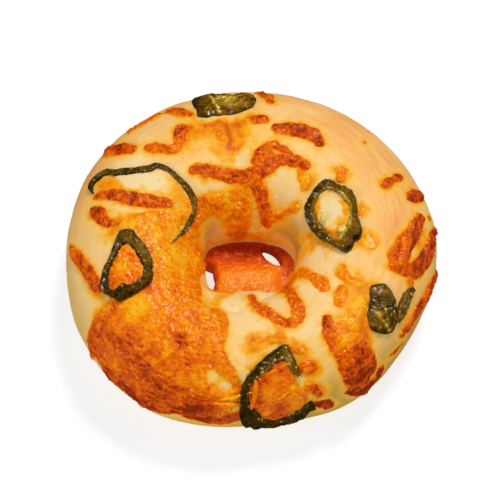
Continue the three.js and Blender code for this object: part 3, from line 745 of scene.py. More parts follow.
def on_chart(values, azimuth, over):
    """Values of the chart at other places, blended between the four nearest points."""
    across = wrapped(azimuth, 0.0) / CHEESE_AZIMUTH_STEP
    along = np.clip((over - cheese_overs[0]) / CHEESE_OVER_STEP, 0, len(cheese_overs) - 1.001)
    i, j = across.astype(int), along.astype(int)
    u, v = across - i, along - j
    n = len(cheese_azimuths)
    near = values[i % n, j] * (1 - v) + values[i % n, j + 1] * v
    far = values[(i + 1) % n, j] * (1 - v) + values[(i + 1) % n, j + 1] * v
    return near * (1 - u) + far * u


dough_oil = on_chart(soaked_share, dough_azimuth, dough_over)
dough_oil *= rising(dough_over, -30, 15) * rising(dough_over, 200, -15)
write_note(dough.data, "oil", dough_oil)


def spread_mask(mask, cells):
    """The mask grown by a number of cells, round the ring too."""
    for _ in range(cells):
        mask = mask | np.roll(mask, 1, 0) | np.roll(mask, -1, 0)
        mask[:, 1:-1] = mask[:, 1:-1] | mask[:, 2:] | mask[:, :-2]
    return mask


def shell(name, cells, notes):
    """A closed skin over the chart's marked cells: the cheese's upper face, a lower face sunk in the
    dough and a wall between them round every edge. An edge is a side that no neighbour runs along the
    other way."""
    columns, rows = chart_azimuth.shape
    i, j = np.nonzero(cells)
    right = (i + 1) % columns
    quads = np.stack([i * rows + j, right * rows + j, right * rows + j + 1, i * rows + j + 1], axis=-1)
    sides = np.concatenate([quads[:, [k, (k + 1) % 4]] for k in range(4)])
    forward = sides[:, 0] * columns * rows + sides[:, 1]
    backward = sides[:, 1] * columns * rows + sides[:, 0]
    rim = sides[~np.isin(forward, backward)]
    used, place = np.unique(quads, return_inverse=True)
    quads = place.reshape(-1, 4)
    rim = np.searchsorted(used, rim)
    count = len(used)
    lift = np.maximum(thickness.ravel()[used], LOWEST_HEIGHT)
    on_rim = np.unique(rim)
    lift[on_rim] = np.minimum(lift[on_rim], RIM_HEIGHT)
    foot = chart_points.reshape(-1, 3)[used]
    up = crust_normal(chart_azimuth.ravel()[used], chart_over.ravel()[used])
    points = np.concatenate([foot + up * lift[:, None], foot - up * CHEESE_SUNK])
    walls = np.stack([rim[:, 1], rim[:, 0], rim[:, 0] + count, rim[:, 1] + count], axis=-1)
    faces = [quads, quads[:, ::-1] + count, walls]
    doubled = {note: np.tile(values.ravel()[used], 2) for note, values in notes.items()}
    return piece(name, points, faces, doubled, "cheese")


# A cell of the chart is covered where its four corners are, and cells that would meet at one corner
# alone are joined, so that every edge of the skin has two faces.
shown = spread_mask(thickness > LEAST_SHOWN, RUN_ON)
cells = shown & np.roll(shown, -1, 0)
cells[:, :-1] &= shown[:, 1:] & np.roll(shown, -1, 0)[:, 1:]
cells[:, -1] = False
for _ in range(4):
    beside = np.roll(cells, -1, 0)
    uphill = cells[:, :-1] & beside[:, 1:] & ~cells[:, 1:] & ~beside[:, :-1]
    downhill = ~cells[:, :-1] & ~beside[:, 1:] & cells[:, 1:] & beside[:, :-1]
    cells[:, 1:] |= uphill
    cells[:, :-1] |= downhill
fold_x, fold_y, fold_z = np.moveaxis(folded_points, -1, 0)
cheese_notes = {
    "brown": brown_share, "pit": pits, "fold_x": fold_x, "fold_y": fold_y, "fold_z": fold_z,
}
left_cells = cells & (chart_azimuth > LEFT_FROM) & (chart_azimuth < LEFT_TO)
cheese_left = shell("cheese_left", left_cells, cheese_notes)
cheese_rest = shell("cheese_rest", cells & ~left_cells, cheese_notes)

melted = Finish(
    "browned_cheese", Specular_IOR_Level=0.36, IOR=1.5, Specular_Tint=(1, 0.6, 0.22, 1),
    Coat_Weight=0.16, Coat_Roughness=0.08, Coat_IOR=1.5, Coat_Tint=(1, 0.85, 0.55, 1),
)


def cheese_colour(finish, brown, pit, streaked, bubbles):
    """Yellow where it only melted, orange, red-brown and almost black-brown where it fried. Browning
    follows the folds, speckles finely and spares the middles of the bubbles; painted shade also makes
    it darker in the hollows of the skin and lighter on its crests."""
    coarse, mid, small = finish.noise(2.4, 3.0), finish.noise(0.9, 3.0), finish.noise(0.38, 2.0)
    share = brown + (coarse - 0.5) * 0.6 + (mid - 0.5) * 0.35 + (small - 0.5) * 0.25 + (pit - 0.5) * 0.5
    share = share + (streaked - 0.5) * 0.45 + (bubbles - 0.42) * 0.4
    return finish.ramp(
        share.clipped(), (0.0, (254, 190, 30)), (0.18, (254, 160, 8)), (0.4, (249, 128, 2)),
        (0.6, (234, 98, 2)), (0.8, (204, 70, 4)), (1.0, (150, 42, 6)),
    )


brown, pit = melted.note("brown"), melted.note("pit")
streaked = melted.laid_noise(("fold_x", "fold_y", "fold_z"), 1.3, Detail=3.0, Distortion=0.6)
bubbles, crackle = melted.cells(0.75), melted.noise(0.5, 3.0)
melted.wire(
    Base_Color=cheese_colour(melted, brown, pit, streaked, bubbles),
    Roughness=0.22 + (crackle - 0.5) * 0.2 + pit * 0.14,
    Normal=melted.bump(crackle * 0.4 + bubbles * 0.3 + streaked * 0.9, 0.36, 0.8),
)
melted.on(cheese_left, cheese_rest)

# Cheese in the hole
# Cheese that ran down into the hole and set across it as one soft lump: bright orange and pillowy
# on its near half, and dark red-brown on its far half, partly fried and partly painted shade under the
# wall. It touches the wall all round but for one gap, and a slit opened in it as it shrank.

# Sizes in mm, places about the ring's own middle and directions in degrees. The far half falls away by
# FAR_FALL mm a mm.
PLUG_HEIGHT, PLUG_HALF_THICKNESS = 10.2, 3.4
WALL_ROUNDING, SLIT_ROUNDING = 2.2, 2.0
PILLOW_MIDDLE, PILLOW_REACH, PILLOW_HEIGHT = (-0.9, -8.0), (9.8, 6.0), 2.4
GAP_EDGE, GAP_FROM, GAP_TO = -10.3, 165, 216
SLIT_MIDDLE, SLIT_HALF, SLIT_TURN = np.array([6.9, 2.3]), (3.9, 1.5), -50
SUNK_IN_WALL, FAR_FALL = 2.7, 0.12


def wall_reach(azimuth, z):
    """Distance from the hole's middle to the section's wall at a height: the section's oval solved for
    its side."""
    dx, dy, inner, outer, height = section(azimuth)
    waist = WAIST * height
    above = z > waist
    squareness = np.where(above, CROWN_SQUARENESS, BASE_SQUARENESS)
    rise = np.where(above, height - waist, waist * BASE_PRESS)
    sine = np.minimum(np.abs(z - waist) / rise, 1) ** (squareness / 2)
    bulge = np.sqrt(1 - sine ** 2) ** (2 / squareness)
    return (inner + outer) / 2 - (outer - inner) / 2 * bulge


def hole_cheese_points(rounds, top_steps, base_steps):
    """Rays from the slit's middle to the wall, each a flat loop between the slit's edge and the wall: a
    level lump with both edges rounded by a quarter circle, and the pillow as a bell curve on top."""
    azimuth = np.linspace(0, 360, rounds, endpoint=False)[:, None]
    swing = 0.5 - 0.5 * np.cos(np.pi * np.linspace(0, 1, top_steps))
    back = 0.5 + 0.5 * np.cos(np.pi * np.linspace(0, 1, base_steps + 2)[1:-1])
    share = np.concatenate([swing, back])[None, :]
    face = np.concatenate([np.ones(top_steps), -np.ones(base_steps)])[None, :]
    angle = np.radians(azimuth)
    to_gap = (GAP_EDGE - HOLE_CENTRE[0]) / np.minimum(np.cos(angle), -0.1) + 0.3 * np.sin(9 * angle)
    to_gap = to_gap + 4 * rising(azimuth, GAP_FROM, -3) + 4 * rising(azimuth, GAP_TO, 3)
    turn = np.radians(SLIT_TURN)

    def ray(z):
        reach = np.minimum(wall_reach(azimuth, z) + SUNK_IN_WALL, to_gap)
        x = HOLE_CENTRE[0] + reach * np.cos(angle) - SLIT_MIDDLE[0]
        y = HOLE_CENTRE[1] + reach * np.sin(angle) - SLIT_MIDDLE[1]
        length = np.hypot(x, y)
        along = (x * np.cos(turn) + y * np.sin(turn)) / length / SLIT_HALF[0]
        across = (y * np.cos(turn) - x * np.sin(turn)) / length / SLIT_HALF[1]
        slit = 1 / np.hypot(along, across)
        far = slit + (length - slit) * share
        return far, slit, length, SLIT_MIDDLE[0] + x / length * far, SLIT_MIDDLE[1] + y / length * far

    far, slit, length, x, y = ray(np.full(azimuth.shape, PLUG_HEIGHT))
    to_wall, to_slit = rising(length - far, 0, WALL_ROUNDING), rising(far - slit, 0, SLIT_ROUNDING)
    edge = np.sqrt(1 - (1 - to_wall) ** 2) * np.sqrt(1 - (1 - to_slit) ** 2)
    z = PLUG_HEIGHT + face * edge * PLUG_HALF_THICKNESS
    across, along = (x - PILLOW_MIDDLE[0]) / PILLOW_REACH[0], (y - PILLOW_MIDDLE[1]) / PILLOW_REACH[1]
    z = z + (face > 0) * edge * PILLOW_HEIGHT * np.exp(-across ** 6 - np.abs(along) ** 3)
    z = z - (face > 0) * edge * FAR_FALL * np.maximum(y + 2, 0)
    x, y = ray(z)[3:]
    return np.stack([x, y, z], axis=-1), edge * (face > 0)


plug_points, plug_top = hole_cheese_points(300, 110, 24)
plug_x, plug_y = plug_points[..., 0], plug_points[..., 1]
# It is darker towards the far side and where it touches the wall at the left and right, partly because
# it fried and partly as painted shade under the wall.
fried = rising(plug_y + 1.6 * mottle(plug_points, 3, 44), -6.0, 9.0) ** 1.2
fried = np.maximum(fried, 0.5 * rising(plug_x, 7.5, 4.0))
fried = np.maximum(fried, 0.75 * rising(plug_x, -7.8, -2.5))
# Its skin is uneven and wrinkled, and an oval dent runs round the top of the pillow.
plug_relief = mottles(plug_points, ((0.35, 2.6, 41), (0.14, 0.8, 43)))
plug_relief = (plug_relief + 0.3 * (wrinkle(plug_points, 1.8, 42) - 0.4)) * (0.6 + 0.4 * fried)
plug_relief -= 0.12 * bell(np.hypot((plug_x - 1.0) / 5.0, (plug_y + 8.6) / 2.6), 1, 0.16)
plug_points[..., 2] += plug_top * plug_relief
# The lump's colour is painted darker in the hollows of its skin, as painted shade.
cheese_in_hole = piece(
    "cheese_in_hole", plug_points, [grid_faces(*plug_top.shape, True, True)[:, ::-1]],
    {"brown": 0.14 + 0.72 * fried, "pit": np.clip(0.4 - plug_relief, 0, 1)},
    "cheese", "hole_cheese",
)

run_in = Finish("run_in_cheese", Specular_IOR_Level=0.6, IOR=1.5, Specular_Tint=(1, 0.7, 0.45, 1))
brown, pit = run_in.note("brown"), run_in.note("pit")
patchy, speck = run_in.noise(1.5, 3.0), run_in.noise(0.5, 2.0)
# The hollows of the skin are painted darker, as painted shade.
shade = (brown + (patchy - 0.5) * 0.45 + (speck - 0.5) * 0.3 + (pit - 0.4) * 0.2).clipped()
run_in.wire(
    Base_Color=run_in.ramp(
        shade, (0.0, (254, 164, 40)), (0.25, (252, 132, 14)), (0.5, (232, 92, 6)),
        (0.75, (196, 54, 4)), (1.0, (150, 28, 2))),
    Roughness=0.28 + (speck - 0.5) * 0.3,
    Normal=run_in.bump(run_in.noise(0.7, 4.0), 0.3, 0.7),
)
run_in.on(cheese_in_hole)

# Pepper slices
# Six slices across a pickled green pepper, baked dark: four curled ribbons, one shrivelled flat with a
# thin tail, and one on the far rim. Each is pressed into what it lies on. Its outer rim is glossy
# black-green skin, and its olive-brown flesh slopes down to a paler, wetter inner edge.

# For each ribbon, places of its outer edge, of its inner edge and how darkly it baked there, clockwise
# seen from above; then how far it stands proud, whether it closes and how much paler its inner edge is.
RIBBONS = {
    "pepper_slice_big_arc": (
        ((160, 50, 160, 52, 0.8), (157.5, 43.5, 157.5, 48, 0.8), (155, 44, 155.5, 50, 0.7),
         (152.5, 50, 153, 56, 0.6), (150.5, 57, 152, 63, 0.5), (150, 66, 151.8, 68.5, 0.55),
         (146, 78.5, 148, 80.5, 0.6), (141.5, 87, 143, 89.5, 0.7), (138, 89.5, 140, 91.5, 0.7),
         (135.8, 98, 138, 98.5, 0.55), (135.3, 109.5, 138.3, 108.5, 0.3), (135, 120, 138.8, 117, 0.2),
         (137, 128.5, 141.2, 125, 0.2), (144, 135, 146, 131, 0.25), (153, 138, 154, 134, 0.4),
         (164, 137, 163, 134, 0.6), (173.5, 130.5, 172, 128.8, 0.8), (183, 121.5, 182.5, 121, 0.9)),
        1.2, False, 0.15,
    ),
    "pepper_slice_left": (
        ((176.5, 87.5, 184.5, 87, 0.3), (178, 92, 186, 89.5, 0.3), (184.5, 98, 189.5, 91.5, 0.2),
         (190.5, 101.5, 193, 93.5, 0.15), (197, 102, 198, 94, 0.2), (205, 98, 202.5, 91.5, 0.4),
         (208.5, 93, 204, 87, 0.6), (209.5, 84.5, 204.5, 80.5, 0.75), (209.5, 76, 202.5, 76, 0.85),
         (209, 68, 203.5, 71, 0.9), (205.5, 63.5, 203.5, 68, 0.9), (202, 59, 201.5, 65, 0.85),
         (198, 60.5, 198, 66.5, 0.8), (194, 65, 194.5, 70, 0.75), (191.5, 69.5, 192, 73.5, 0.75),
         (186, 75.5, 189, 78, 0.7), (180, 79.5, 185.5, 83, 0.6), (177.5, 83, 184.5, 85.5, 0.45)),
        1.9, True, 0.0,
    ),
    "pepper_slice_right": (
        ((399.5, 105, 393.5, 108.5, 0.6), (396, 101.5, 392, 106, 0.5), (391.5, 99, 389, 103.5, 0.4),
         (388, 95.5, 386, 101.5, 0.35), (382.5, 93, 382, 100.5, 0.3), (378, 94, 378, 99.5, 0.4),
         (372.5, 96, 375.5, 100.5, 0.45), (367.5, 95, 371.5, 102.5, 0.4), (362, 93.5, 368.5, 105, 0.25),
         (357, 98, 365, 108.5, 0.15), (350.5, 102, 362, 112.5, 0.2), (353, 110.5, 361.5, 115.5, 0.4),
         (358.5, 120, 364, 118.5, 0.6), (364.5, 128.5, 369.5, 122.5, 0.7),
         (374, 134, 374.5, 125.5, 0.75),
         (383, 134.5, 381, 127, 0.7), (391.5, 132, 386, 125.5, 0.75), (395, 128.5, 390, 123, 0.8),
         (397, 122, 392.5, 119, 0.8), (399.5, 115.5, 394, 115.5, 0.85), (399.5, 111, 394, 112, 0.8)),
        1.8, True, 0.8,
    ),
    "pepper_slice_bottom": (
        ((293, 9, 292, 15, 1.0), (292, 4, 290.5, 13, 1.0), (289.5, -2, 288.5, 9, 0.95),
         (287, -7, 286, 2, 0.9), (284.5, -9, 284, -1, 0.95), (280, -10.5, 281, -3, 0.95),
         (274, -11, 278, -3, 0.95), (271, -9, 275.5, 2, 0.9), (268.5, -4, 274, 12, 0.95),
         (267.5, 3, 272.3, 19, 1.0), (267, 16, 270.6, 27, 0.95), (267.5, 26, 270.4, 33, 0.9),
         (267.5, 39.5, 271.2, 42.5, 0.8), (268.5, 47.5, 273.2, 48, 0.85), (270.5, 54.5, 275.2, 53, 0.8),
         (274, 62.5, 278.6, 56.5, 0.8), (277.5, 68.5, 280.8, 60.5, 0.75), (281.5, 73, 282.8, 62.5, 0.6),
         (285.5, 77, 284.8, 62.5, 0.35), (288.5, 77, 285.8, 60.5, 0.15), (289.3, 68.5, 286.4, 56.5, 0.0),
         (289.8, 58.5, 287, 53.5, 0.2), (290, 51, 288, 48, 0.5), (290.3, 45, 289.6, 44.5, 0.7)),
        1.7, False, 0.45,
    ),
}
# The thin tail of the slice at the lower right, in the same way.
TAIL = (
    ((344.8, 37, 345.4, 40, 0.8), (342.5, 37, 343.5, 43.5, 0.6), (338, 35.5, 339.5, 44.5, 0.45),
     (334.5, 34.5, 336, 43.5, 0.4), (331.5, 34, 331.5, 39, 0.5)),
    1.5, False, 0.6,
)
# For each flat slice, its outline, anticlockwise seen from above, its middle and how far it stands
# proud; then places, half sizes in degrees and amounts of paler flesh, or of darker skin where it is
# less, and the same of what stands up from it in mm.
PADS = {
    "pepper_slice_top": (
        ((109.5, 53), (109.5, 63.5), (110, 71.5), (107, 75), (104, 75), (101, 76), (97.5, 74.5),
         (92, 73.5), (88.5, 71), (87, 66.5), (87, 59.5), (88, 53), (91.5, 50), (95, 50), (99.5, 46),
         (102.5, 41), (105, 40), (108.5, 44)),
        (98.5, 60), 1.2,
        ((98.5, 58, 3.2, 9, 0.48), (107.5, 60, 2.6, 12, -0.1), (92, 63, 4.5, 9, 0.24),
         (103.5, 45, 0.7, 5, 0.5), (102.9, 53, 0.6, 5, 0.5), (102.4, 62, 0.6, 5, 0.5),
         (101.6, 71, 0.6, 5, 0.5), (96, 51, 7, 2.5, -0.3), (98, 75, 9, 2.5, 0.1)),
        ((103, 58, 0.9, 16, 0.4), (98, 52, 7, 4, 0.35), (99, 61, 2, 6, -0.3), (91, 62, 4, 8, 0.2)),
    ),
    "pepper_slice_lower_right": (
        ((334, 73), (331, 69), (329, 67), (326, 64.5), (324.5, 61), (322.5, 54.5), (322.5, 49.5),
         (323.5, 43), (325.5, 36.5), (328.5, 33.5), (331.5, 37), (333.5, 39.5), (335.5, 46),
         (337.5, 51), (339, 57), (340, 64.5), (339.5, 69), (337, 74)),
        (331.3, 54), 1.7,
        ((328, 57, 1.0, 3, 0.45), (327.5, 50.5, 0.7, 3, 0.45), (327, 43.5, 0.7, 3.5, 0.45),
         (326.5, 38.5, 0.8, 2, 0.4), (334, 48, 2.4, 7, -0.2), (333, 64, 3, 4, -0.15),
         (330, 40, 2.4, 3, -0.15), (336.5, 63, 1.6, 3, 0.25), (323.6, 56, 0.8, 4, 0.3)),
        ((328, 52, 1.2, 9, -0.4), (334, 64, 2.4, 4, 0.3), (334, 46, 2.4, 6, 0.3),
         (325.5, 50, 1.2, 7, 0.2)),
    ),
}
# How deep in mm each slice is sunk into what it lies on, and the share of the cheese's height that bears
# it.
PEPPER_SUNK, BEARING = 1.0, 0.8


def foothold(azimuth, over):
    """Places on the crust or on the cheese that covers it, and the direction away from it."""
    return crust(azimuth, over, on_chart(level, azimuth, over) * BEARING), crust_normal(azimuth, over)


def form(rings, notes, closes):
    """Points, faces and notes of a form made of rings of points, which either meet end to end or are
    closed at each end by a fan of triangles about the end ring's middle."""
    rows, columns = rings.shape[:2]
    if closes:
        return rings.reshape(-1, 3), [grid_faces(rows, columns, True, True)], notes
    points = np.concatenate([rings.reshape(-1, 3), rings[:1].mean(1), rings[-1:].mean(1)])
    notes = {
        note: np.concatenate([np.ravel(values), values[:1].mean(1), values[-1:].mean(1)])
        for note, values in notes.items()
    }
    first, count = np.arange(columns), rows * columns
    second, last = (first + 1) % columns, count - columns
    fans = [
        np.stack([first, second, np.full(columns, count)], axis=-1),
        np.stack([second + last, first + last, np.full(columns, count + 1)], axis=-1),
    ]
    return points, [grid_faces(rows, columns, False, True), *fans], notes


def joined(*forms):
    """Several forms as one."""
    points, faces, notes, start = [], [], {}, 0
    for form_points, form_faces, form_notes in forms:
        points.append(form_points)
        faces += [block + start for block in form_faces]
        for note, values in form_notes.items():
            notes.setdefault(note, []).append(np.ravel(values))
        start += len(form_points)
    return np.concatenate(points), faces, {note: np.concatenate(parts) for note, parts in notes.items()}


def ribbon(places, proud, closed, wet, along_steps=300, round_steps=44):
    """A squarish oval carried along between its two edges, which wander a little. Its upper side slopes
    from a bead at the outer rim down to the inner edge, and it thins out where the edges meet. The inner
    edge is paler by the amount wet."""
    dense = smooth_path(places, closed, 1200)
    if closed:
        dense = np.concatenate([dense, dense[:1]])
    azimuth, over = dense[:, [0, 2]].mean(1), dense[:, [1, 3]].mean(1)
    run = np.concatenate([[0], np.cumsum(np.hypot(2 * np.diff(azimuth), np.diff(over)))])
    share = np.linspace(0, run[-1], along_steps, endpoint=not closed)
    azimuth_0, over_0, azimuth_1, over_1, dark = (
        np.interp(share, run, column)[:, None] for column in dense.T)
    turn = np.linspace(0, 2 * np.pi, round_steps, endpoint=False)[None, :]
    inner, rise = squared(np.cos(turn), 3.0), squared(np.sin(turn), 3.0)
    middle, _ = foothold((azimuth_0 + azimuth_1) / 2, (over_0 + over_1) / 2)
    edge = np.where(inner > 0, mottle(middle, 2.2, 61), mottle(middle, 2.2, 62))
    part = 0.5 + inner * (0.5 + 0.09 * edge)
    foot, up = foothold(azimuth_0 + (azimuth_1 - azimuth_0) * part, over_0 + (over_1 - over_0) * part)
    inward = crust(azimuth_1, over_1) - crust(azimuth_0, over_0)
    width = np.linalg.norm(inward, axis=-1)
    thick = rising(width, 0, 1.5) ** 0.5
    bead = 0.66 - 0.22 * inner + 0.34 * bell(inner, -0.74, 0.2) + 0.16 * bell(inner, 0.8, 0.14)
    bead = bead + 0.28 * mottle(middle, 2.6, 63) + 0.2 * inner * mottle(middle, 1.6, 64)
    lift = np.where(rise > 0, proud * bead, PEPPER_SUNK) * rise * thick
    outward = unit(unit(inward) * np.cos(turn)[..., None] + up * np.sin(turn)[..., None])
    relief = 0.18 * mottle(foot, 1.9, 51) + 0.24 * (wrinkle(foot + up * lift[..., None], 1.5, 52) - 0.35)
    relief = relief * thick * (rise > -0.2)
    points = foot + up * lift[..., None] + outward * relief[..., None]
    # Dark skin at the outer rim, flesh in the middle, and a darker inner edge that is partly its own
    # colour and partly painted shade on the inner wall.
    flesh = 0.5 * rising(inner, -0.9, 0.4) - 0.5 * rising(inner, 0.6, 0.2)
    flesh = flesh + 0.16 * mottle(middle, 2.6, 65) - 0.3 * (rise < 0.5) + 0.04
    ripe = flesh * (1 - 0.75 * dark) + wet * (1 - 0.6 * dark) * rising(inner, 0.3, 0.5)
    return form(points, {"ripe": ripe, "relief": relief}, closed)


def pad(outline, middle, proud, marks, lumps, round_steps=150, top_steps=60, base_steps=10):
    """A flat slice within its outline: its height falls from the middle as the power 0.25 of 1 - r^2,
    under the lumps and wrinkles that it dried into."""
    azimuth, over = smooth_path(outline, True, round_steps).T[:, None]
    reach = np.concatenate([
        np.sin(np.pi / 2 * np.linspace(0.01, 1, top_steps)),
        np.sin(np.pi / 2 * np.linspace(1, 0.02, base_steps + 1)[1:]),
    ])[:, None]
    face = np.concatenate([np.ones(top_steps), -np.ones(base_steps)])[:, None]
    azimuth = middle[0] + reach * (azimuth - middle[0])
    over = middle[1] + reach * (over - middle[1])
    foot, up = foothold(azimuth, over)
    relief = 0.3 * mottle(foot, 2.2, 53) + 0.34 * (wrinkle(foot, 1.8, 54) - 0.35)
    swell = np.clip(1 - reach ** 2, 0, 1) ** 0.25
    raised_by = np.maximum(proud + relief + patches(azimuth, over, lumps), 0.3)
    lift = np.where(face > 0, raised_by, -PEPPER_SUNK) * swell
    wander = 0.3 * mottle(foot, 2.0, 55) * reach ** 4
    points = foot + up * lift[..., None] + unit(foot - foot[:1].mean((0, 1))) * wander[..., None]
    # The relief also lightens the crests and darkens the hollows of the wrinkles, as painted shade, and
    # the rim is darker skin.
    ripe = 0.38 + 0.12 * relief + patches(azimuth, over, marks) - 0.22 * reach ** 8
    return form(points, {"ripe": ripe, "relief": relief}, False)


pepper = Finish(
    "baked_pepper", IOR=1.46, Specular_IOR_Level=0.4, Specular_Tint=(1, 0.84, 0.58, 1),
    Coat_Weight=0.5, Coat_Roughness=0.12,
)
cloudy, grainy, fleck = pepper.noise(2.2, 3.0), pepper.noise(0.9, 3.0), pepper.noise(0.4, 2.0)
# Painted shade: the relief note makes the crests of the wrinkles lighter and their hollows darker.
shade = pepper.note("ripe") + pepper.note("relief") * 0.5 + (cloudy - 0.5) * 0.35
shade = (shade + (grainy - 0.5) * 0.3 + (fleck - 0.5) * 0.35).clipped()
pepper.wire(
    Base_Color=pepper.ramp(
        shade, (0.0, (26, 22, 2)), (0.2, (58, 42, 2)), (0.4, (108, 72, 2)),
        (0.62, (148, 102, 8)), (0.8, (192, 156, 40)), (1.0, (228, 202, 96))),
    Roughness=0.24 + (grainy - 0.5) * 0.36,
    Normal=pepper.bump(grainy * 0.6 + fleck * 0.4, 0.35, 0.8),
)
slices = {name: ribbon(*facts) for name, facts in RIBBONS.items()}
slices |= {name: pad(*facts) for name, facts in PADS.items()}
slices["pepper_slice_lower_right"] = joined(slices["pepper_slice_lower_right"], ribbon(*TAIL))
for name, slice_form in slices.items():
    pepper.on(piece(name.replace("slice", "ring"), *slice_form, "pepper", name))

# Strands, seeds and crumbs
# Thin strands of cheese that lie across the near slice, the two seeds left in the right slice, wet beads
# of flesh along the slices, and crumbs that stuck to the crust. All rest on what is under them.

# How browned each strand is, and the places that it runs through with its width in mm there.
STRANDS = (
    (0.5, ((273.2, 50, 0.8), (273, 45, 1.3), (272.5, 34.5, 1.5), (271.5, 24, 1.4), (271, 17, 0.9))),
    (0.1, ((260.5, 31, 0.7), (262.5, 32, 1.2), (265, 33, 1.0), (269, 35.5, 0.8), (272, 37.5, 0.5))),
    (0.35, ((258.5, 28, 0.8), (261, 27, 1.6), (265, 26, 1.8), (269.5, 21, 1.0))),
    (0.2, ((278, 53, 0.4), (280, 55, 0.6), (282, 56, 0.4))),
    (0.2, ((280.5, 27, 0.4), (282.5, 30, 0.6), (285, 34, 0.4))),
)
# Places of the seeds with their height in mm above the crust, and their radius.
SEEDS = ((378.5, 120.5, 0.9, 1.15), (366, 108.5, 1.0, 1.15))


def strand(path, along_steps=70, round_steps=14):
    """A round thread along the path, half sunk in what it lies on, with blunt ends."""
    azimuth, over, width = smooth_path(path, False, along_steps).T
    foot, up = foothold(azimuth, over)
    side = np.cross(unit(np.gradient(foot, axis=0)), up)
    share = np.linspace(0.03, 0.97, along_steps)
    size = width / 2 * np.sin(np.pi * share) ** 0.3 * (1 + 0.3 * mottle(foot, 1.6, 71))
    turn = np.linspace(0, 2 * np.pi, round_steps, endpoint=False)[None, :, None]
    middle = foot + up * (0.3 + 0.25 * width)[:, None]
    outward = side[:, None] * np.cos(turn) + up[:, None] * np.sin(turn)
    return middle[:, None] + outward * size[:, None, None]


def grains(places, sizes, flatness, seed, around=9, levels=4):
    """Small lumps of a few dozen faces each about the places: a ball of the given radius, stretched and
    turned at random, and squashed along the line from the middle of the dough's section to it."""
    random = np.random.default_rng(seed)
    latitude = np.linspace(np.pi / 2, -np.pi / 2, levels + 2)[1:-1, None]
    turn = np.linspace(0, 2 * np.pi, around, endpoint=False)[None, :]
    ball = np.stack(np.broadcast_arrays(
        np.cos(latitude) * np.cos(turn), np.cos(latitude) * np.sin(turn), np.sin(latitude)), axis=-1)
    ball, blocks, _ = form(ball, {}, False)
    azimuth = np.degrees(np.arctan2(places[:, 1] - HOLE_CENTRE[1], places[:, 0] - HOLE_CENTRE[0]))
    dx, dy, inner, outer, height = section(azimuth)
    reach = (inner + outer) / 2
    core = np.stack([HOLE_CENTRE[0] + reach * dx, HOLE_CENTRE[1] + reach * dy, WAIST * height], axis=-1)
    up = unit(places - core)
    side = unit(np.cross(up, (0.1, 0.2, 1.0)))
    ahead = np.cross(up, side)
    spin = random.uniform(0, 2 * np.pi, (len(places), 1))
    x = ball[None, :, 0] * (sizes * random.uniform(0.75, 1.4, len(places)))[:, None]
    y = ball[None, :, 1] * sizes[:, None]
    u, v = x * np.cos(spin) - y * np.sin(spin), x * np.sin(spin) + y * np.cos(spin)
    rise = ball[None, :, 2] * (sizes * flatness)[:, None]
    points = places[:, None] + side[:, None] * u[..., None] + ahead[:, None] * v[..., None]
    points = points + up[:, None] * rise[..., None]
    shift = (np.arange(len(places)) * len(ball))[:, None, None]
    return points, [(block[None] + shift).reshape(-1, block.shape[1]) for block in blocks]


strands = []
for browned_by, path in STRANDS:
    rings = strand(path)
    notes = {"brown": np.full(rings.shape[:2], browned_by), "pit": np.full(rings.shape[:2], 0.4)}
    notes |= {"fold_x": rings[..., 0], "fold_y": rings[..., 1], "fold_z": rings[..., 2]}
    strands.append(form(rings, notes, False))
melted.on(piece("cheese_strands", *joined(*strands), "cheese"))

seed_azimuth, seed_over, seed_lift, seed_size = np.transpose(SEEDS)
seed_points, seed_faces = grains(
    crust(seed_azimuth, seed_over, seed_lift), seed_size, 0.4, 81, around=28, levels=13)
seeds = Finish("pepper_seed", Roughness=0.3, IOR=1.45)
seed_grain = seeds.noise(0.6, 2.0)
seeds.wire(
    Base_Color=seeds.ramp(seed_grain, (0.3, (226, 176, 60)), (0.6, (252, 226, 128))),
    Normal=seeds.bump(seed_grain, 0.2, 0.6),
)
seeds.on(piece("pepper_seeds", seed_points, seed_faces, {}, "pepper"))

# How many beads each slice carries and their largest radius in mm, and the least ripeness under them.
BEADS = {
    "pepper_slice_big_arc": (20, 0.34), "pepper_slice_left": (8, 0.25),
    "pepper_slice_right": (55, 0.45), "pepper_slice_bottom": (34, 0.42),
    "pepper_slice_top": (7, 0.35), "pepper_slice_lower_right": (30, 0.45),
}
LEAST_RIPE = 0.22
random = np.random.default_rng(82)
bead_places, bead_sizes = [], []
for name, (count, largest) in BEADS.items():
    points, _, notes = slices[name]
    chosen = random.choice(np.flatnonzero(np.ravel(notes["ripe"]) > LEAST_RIPE), count)
    bead_places.append(points[chosen])
    bead_sizes.append(largest * random.uniform(0.35, 1, count))
bead_points, bead_faces = grains(np.concatenate(bead_places), np.concatenate(bead_sizes), 0.8, 83)
beads = Finish(
    "wet_flesh", Roughness=0.2, IOR=1.45, Specular_IOR_Level=0.7, Specular_Tint=(1, 0.9, 0.7, 1),
)
beads.wire(Base_Color=beads.ramp(
    beads.noise(1.1, 2.0), (0.3, (110, 84, 10)), (0.5, (176, 146, 30)), (0.68, (236, 210, 110))))
beads.on(piece("pepper_beads", bead_points, bead_faces, {}, "pepper"))

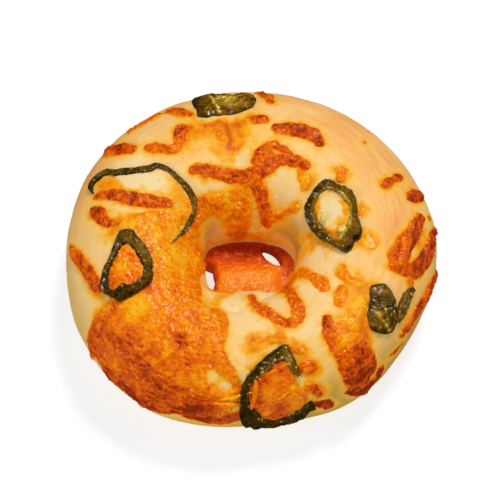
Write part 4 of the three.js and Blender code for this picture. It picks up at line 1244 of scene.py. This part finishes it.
# How many crumbs there are, over what part of the crust's section, and their radii in mm.
CRUMB_COUNT, CRUMB_OVERS, CRUMB_RADII = 150, (-10, 150), (0.14, 0.34)
crumb_azimuth = random.uniform(0, 360, CRUMB_COUNT)
crumb_over = random.uniform(*CRUMB_OVERS, CRUMB_COUNT)
crumb_points, crumb_faces = grains(
    crust(crumb_azimuth, crumb_over, on_chart(level, crumb_azimuth, crumb_over) * 1.05 + 0.02),
    random.uniform(*CRUMB_RADII, CRUMB_COUNT), 0.6, 84)
crumbs = Finish("cheese_crumb", Roughness=0.3, Specular_IOR_Level=0.6)
crumbs.wire(Base_Color=crumbs.ramp(
    crumbs.noise(2.0, 1.0), (0.35, (238, 166, 64)), (0.5, (250, 202, 106)), (0.65, (254, 232, 170))))
crumbs.on(piece("crumbs", crumb_points, crumb_faces, {}, "cheese"))

# Studio
# A white sheet that glows, a soft key light high behind the right, three small soft lights that the oily
# skins mirror, a wide fill that they don't, and an even sky. Places and sizes are in metres.

FLOOR_HALF = 1.5
floor_points = FLOOR_HALF * np.array([[-1, -1, 0], [1, -1, 0], [1, 1, 0], [-1, 1, 0]])
floor_mesh = bpy.data.meshes.new("floor")
floor_mesh.from_pydata(floor_points.tolist(), [], [(0, 1, 2, 3)])
floor = bpy.data.objects.new("floor", floor_mesh)
bpy.context.scene.collection.objects.link(floor)
floor.visible_glossy = False
sheet = Finish(
    "white_sheet", Base_Color=(0.42, 0.49, 0.56, 1), Roughness=0.9,
    Emission_Color=(1, 1, 1, 1), Emission_Strength=0.63,
)
sheet.on(floor)

world = bpy.data.worlds.new("sky")
world.use_nodes = True
background = world.node_tree.nodes["Background"]
background.inputs["Color"].default_value = (1, 1, 1, 1)
background.inputs["Strength"].default_value = 0.25
world.cycles_visibility.glossy = False
bpy.context.scene.world = world


def softbox(name, place, size, watts, mirrored):
    """A square light that faces the ring, and that glossy skins show only where it is mirrored."""
    lamp = bpy.data.lights.new(name, "AREA")
    lamp.shape, lamp.size, lamp.energy = "SQUARE", size, watts
    made = bpy.data.objects.new(name, lamp)
    made.location = place
    made.visible_glossy = mirrored
    made.rotation_euler = (-Vector(place)).to_track_quat("-Z", "Y").to_euler()
    bpy.context.scene.collection.objects.link(made)


softbox("key", (0.2, 0.36, 0.85), 0.24, 4.4, True)
softbox("left_box", (-0.8, -0.3, 0.55), 0.18, 1.3, True)
softbox("right_box", (0.8, -0.1, 0.6), 0.18, 0.9, True)
softbox("low_box", (-0.75, -0.5, 0.25), 0.13, 0.5, True)
softbox("fill", (-0.1, -0.7, 0.75), 0.7, 2.4, False)

camera = bpy.data.cameras.new("camera")
camera.lens, camera.sensor_width = 157.7, 36
camera.shift_x, camera.shift_y = 0.0034, 0.013
seen_from = bpy.data.objects.new("camera", camera)
TARGET = np.array([-1.05, 0.63, 16.0]) * MM
ELEVATION, DISTANCE = np.radians(60), 0.65
seen_from.location = TARGET + DISTANCE * np.array([0, -np.cos(ELEVATION), np.sin(ELEVATION)])
seen_from.rotation_euler = (np.pi / 2 - ELEVATION, 0, 0)
bpy.context.scene.collection.objects.link(seen_from)
bpy.context.scene.camera = seen_from
bpy.context.scene.view_settings.view_transform = "Standard"
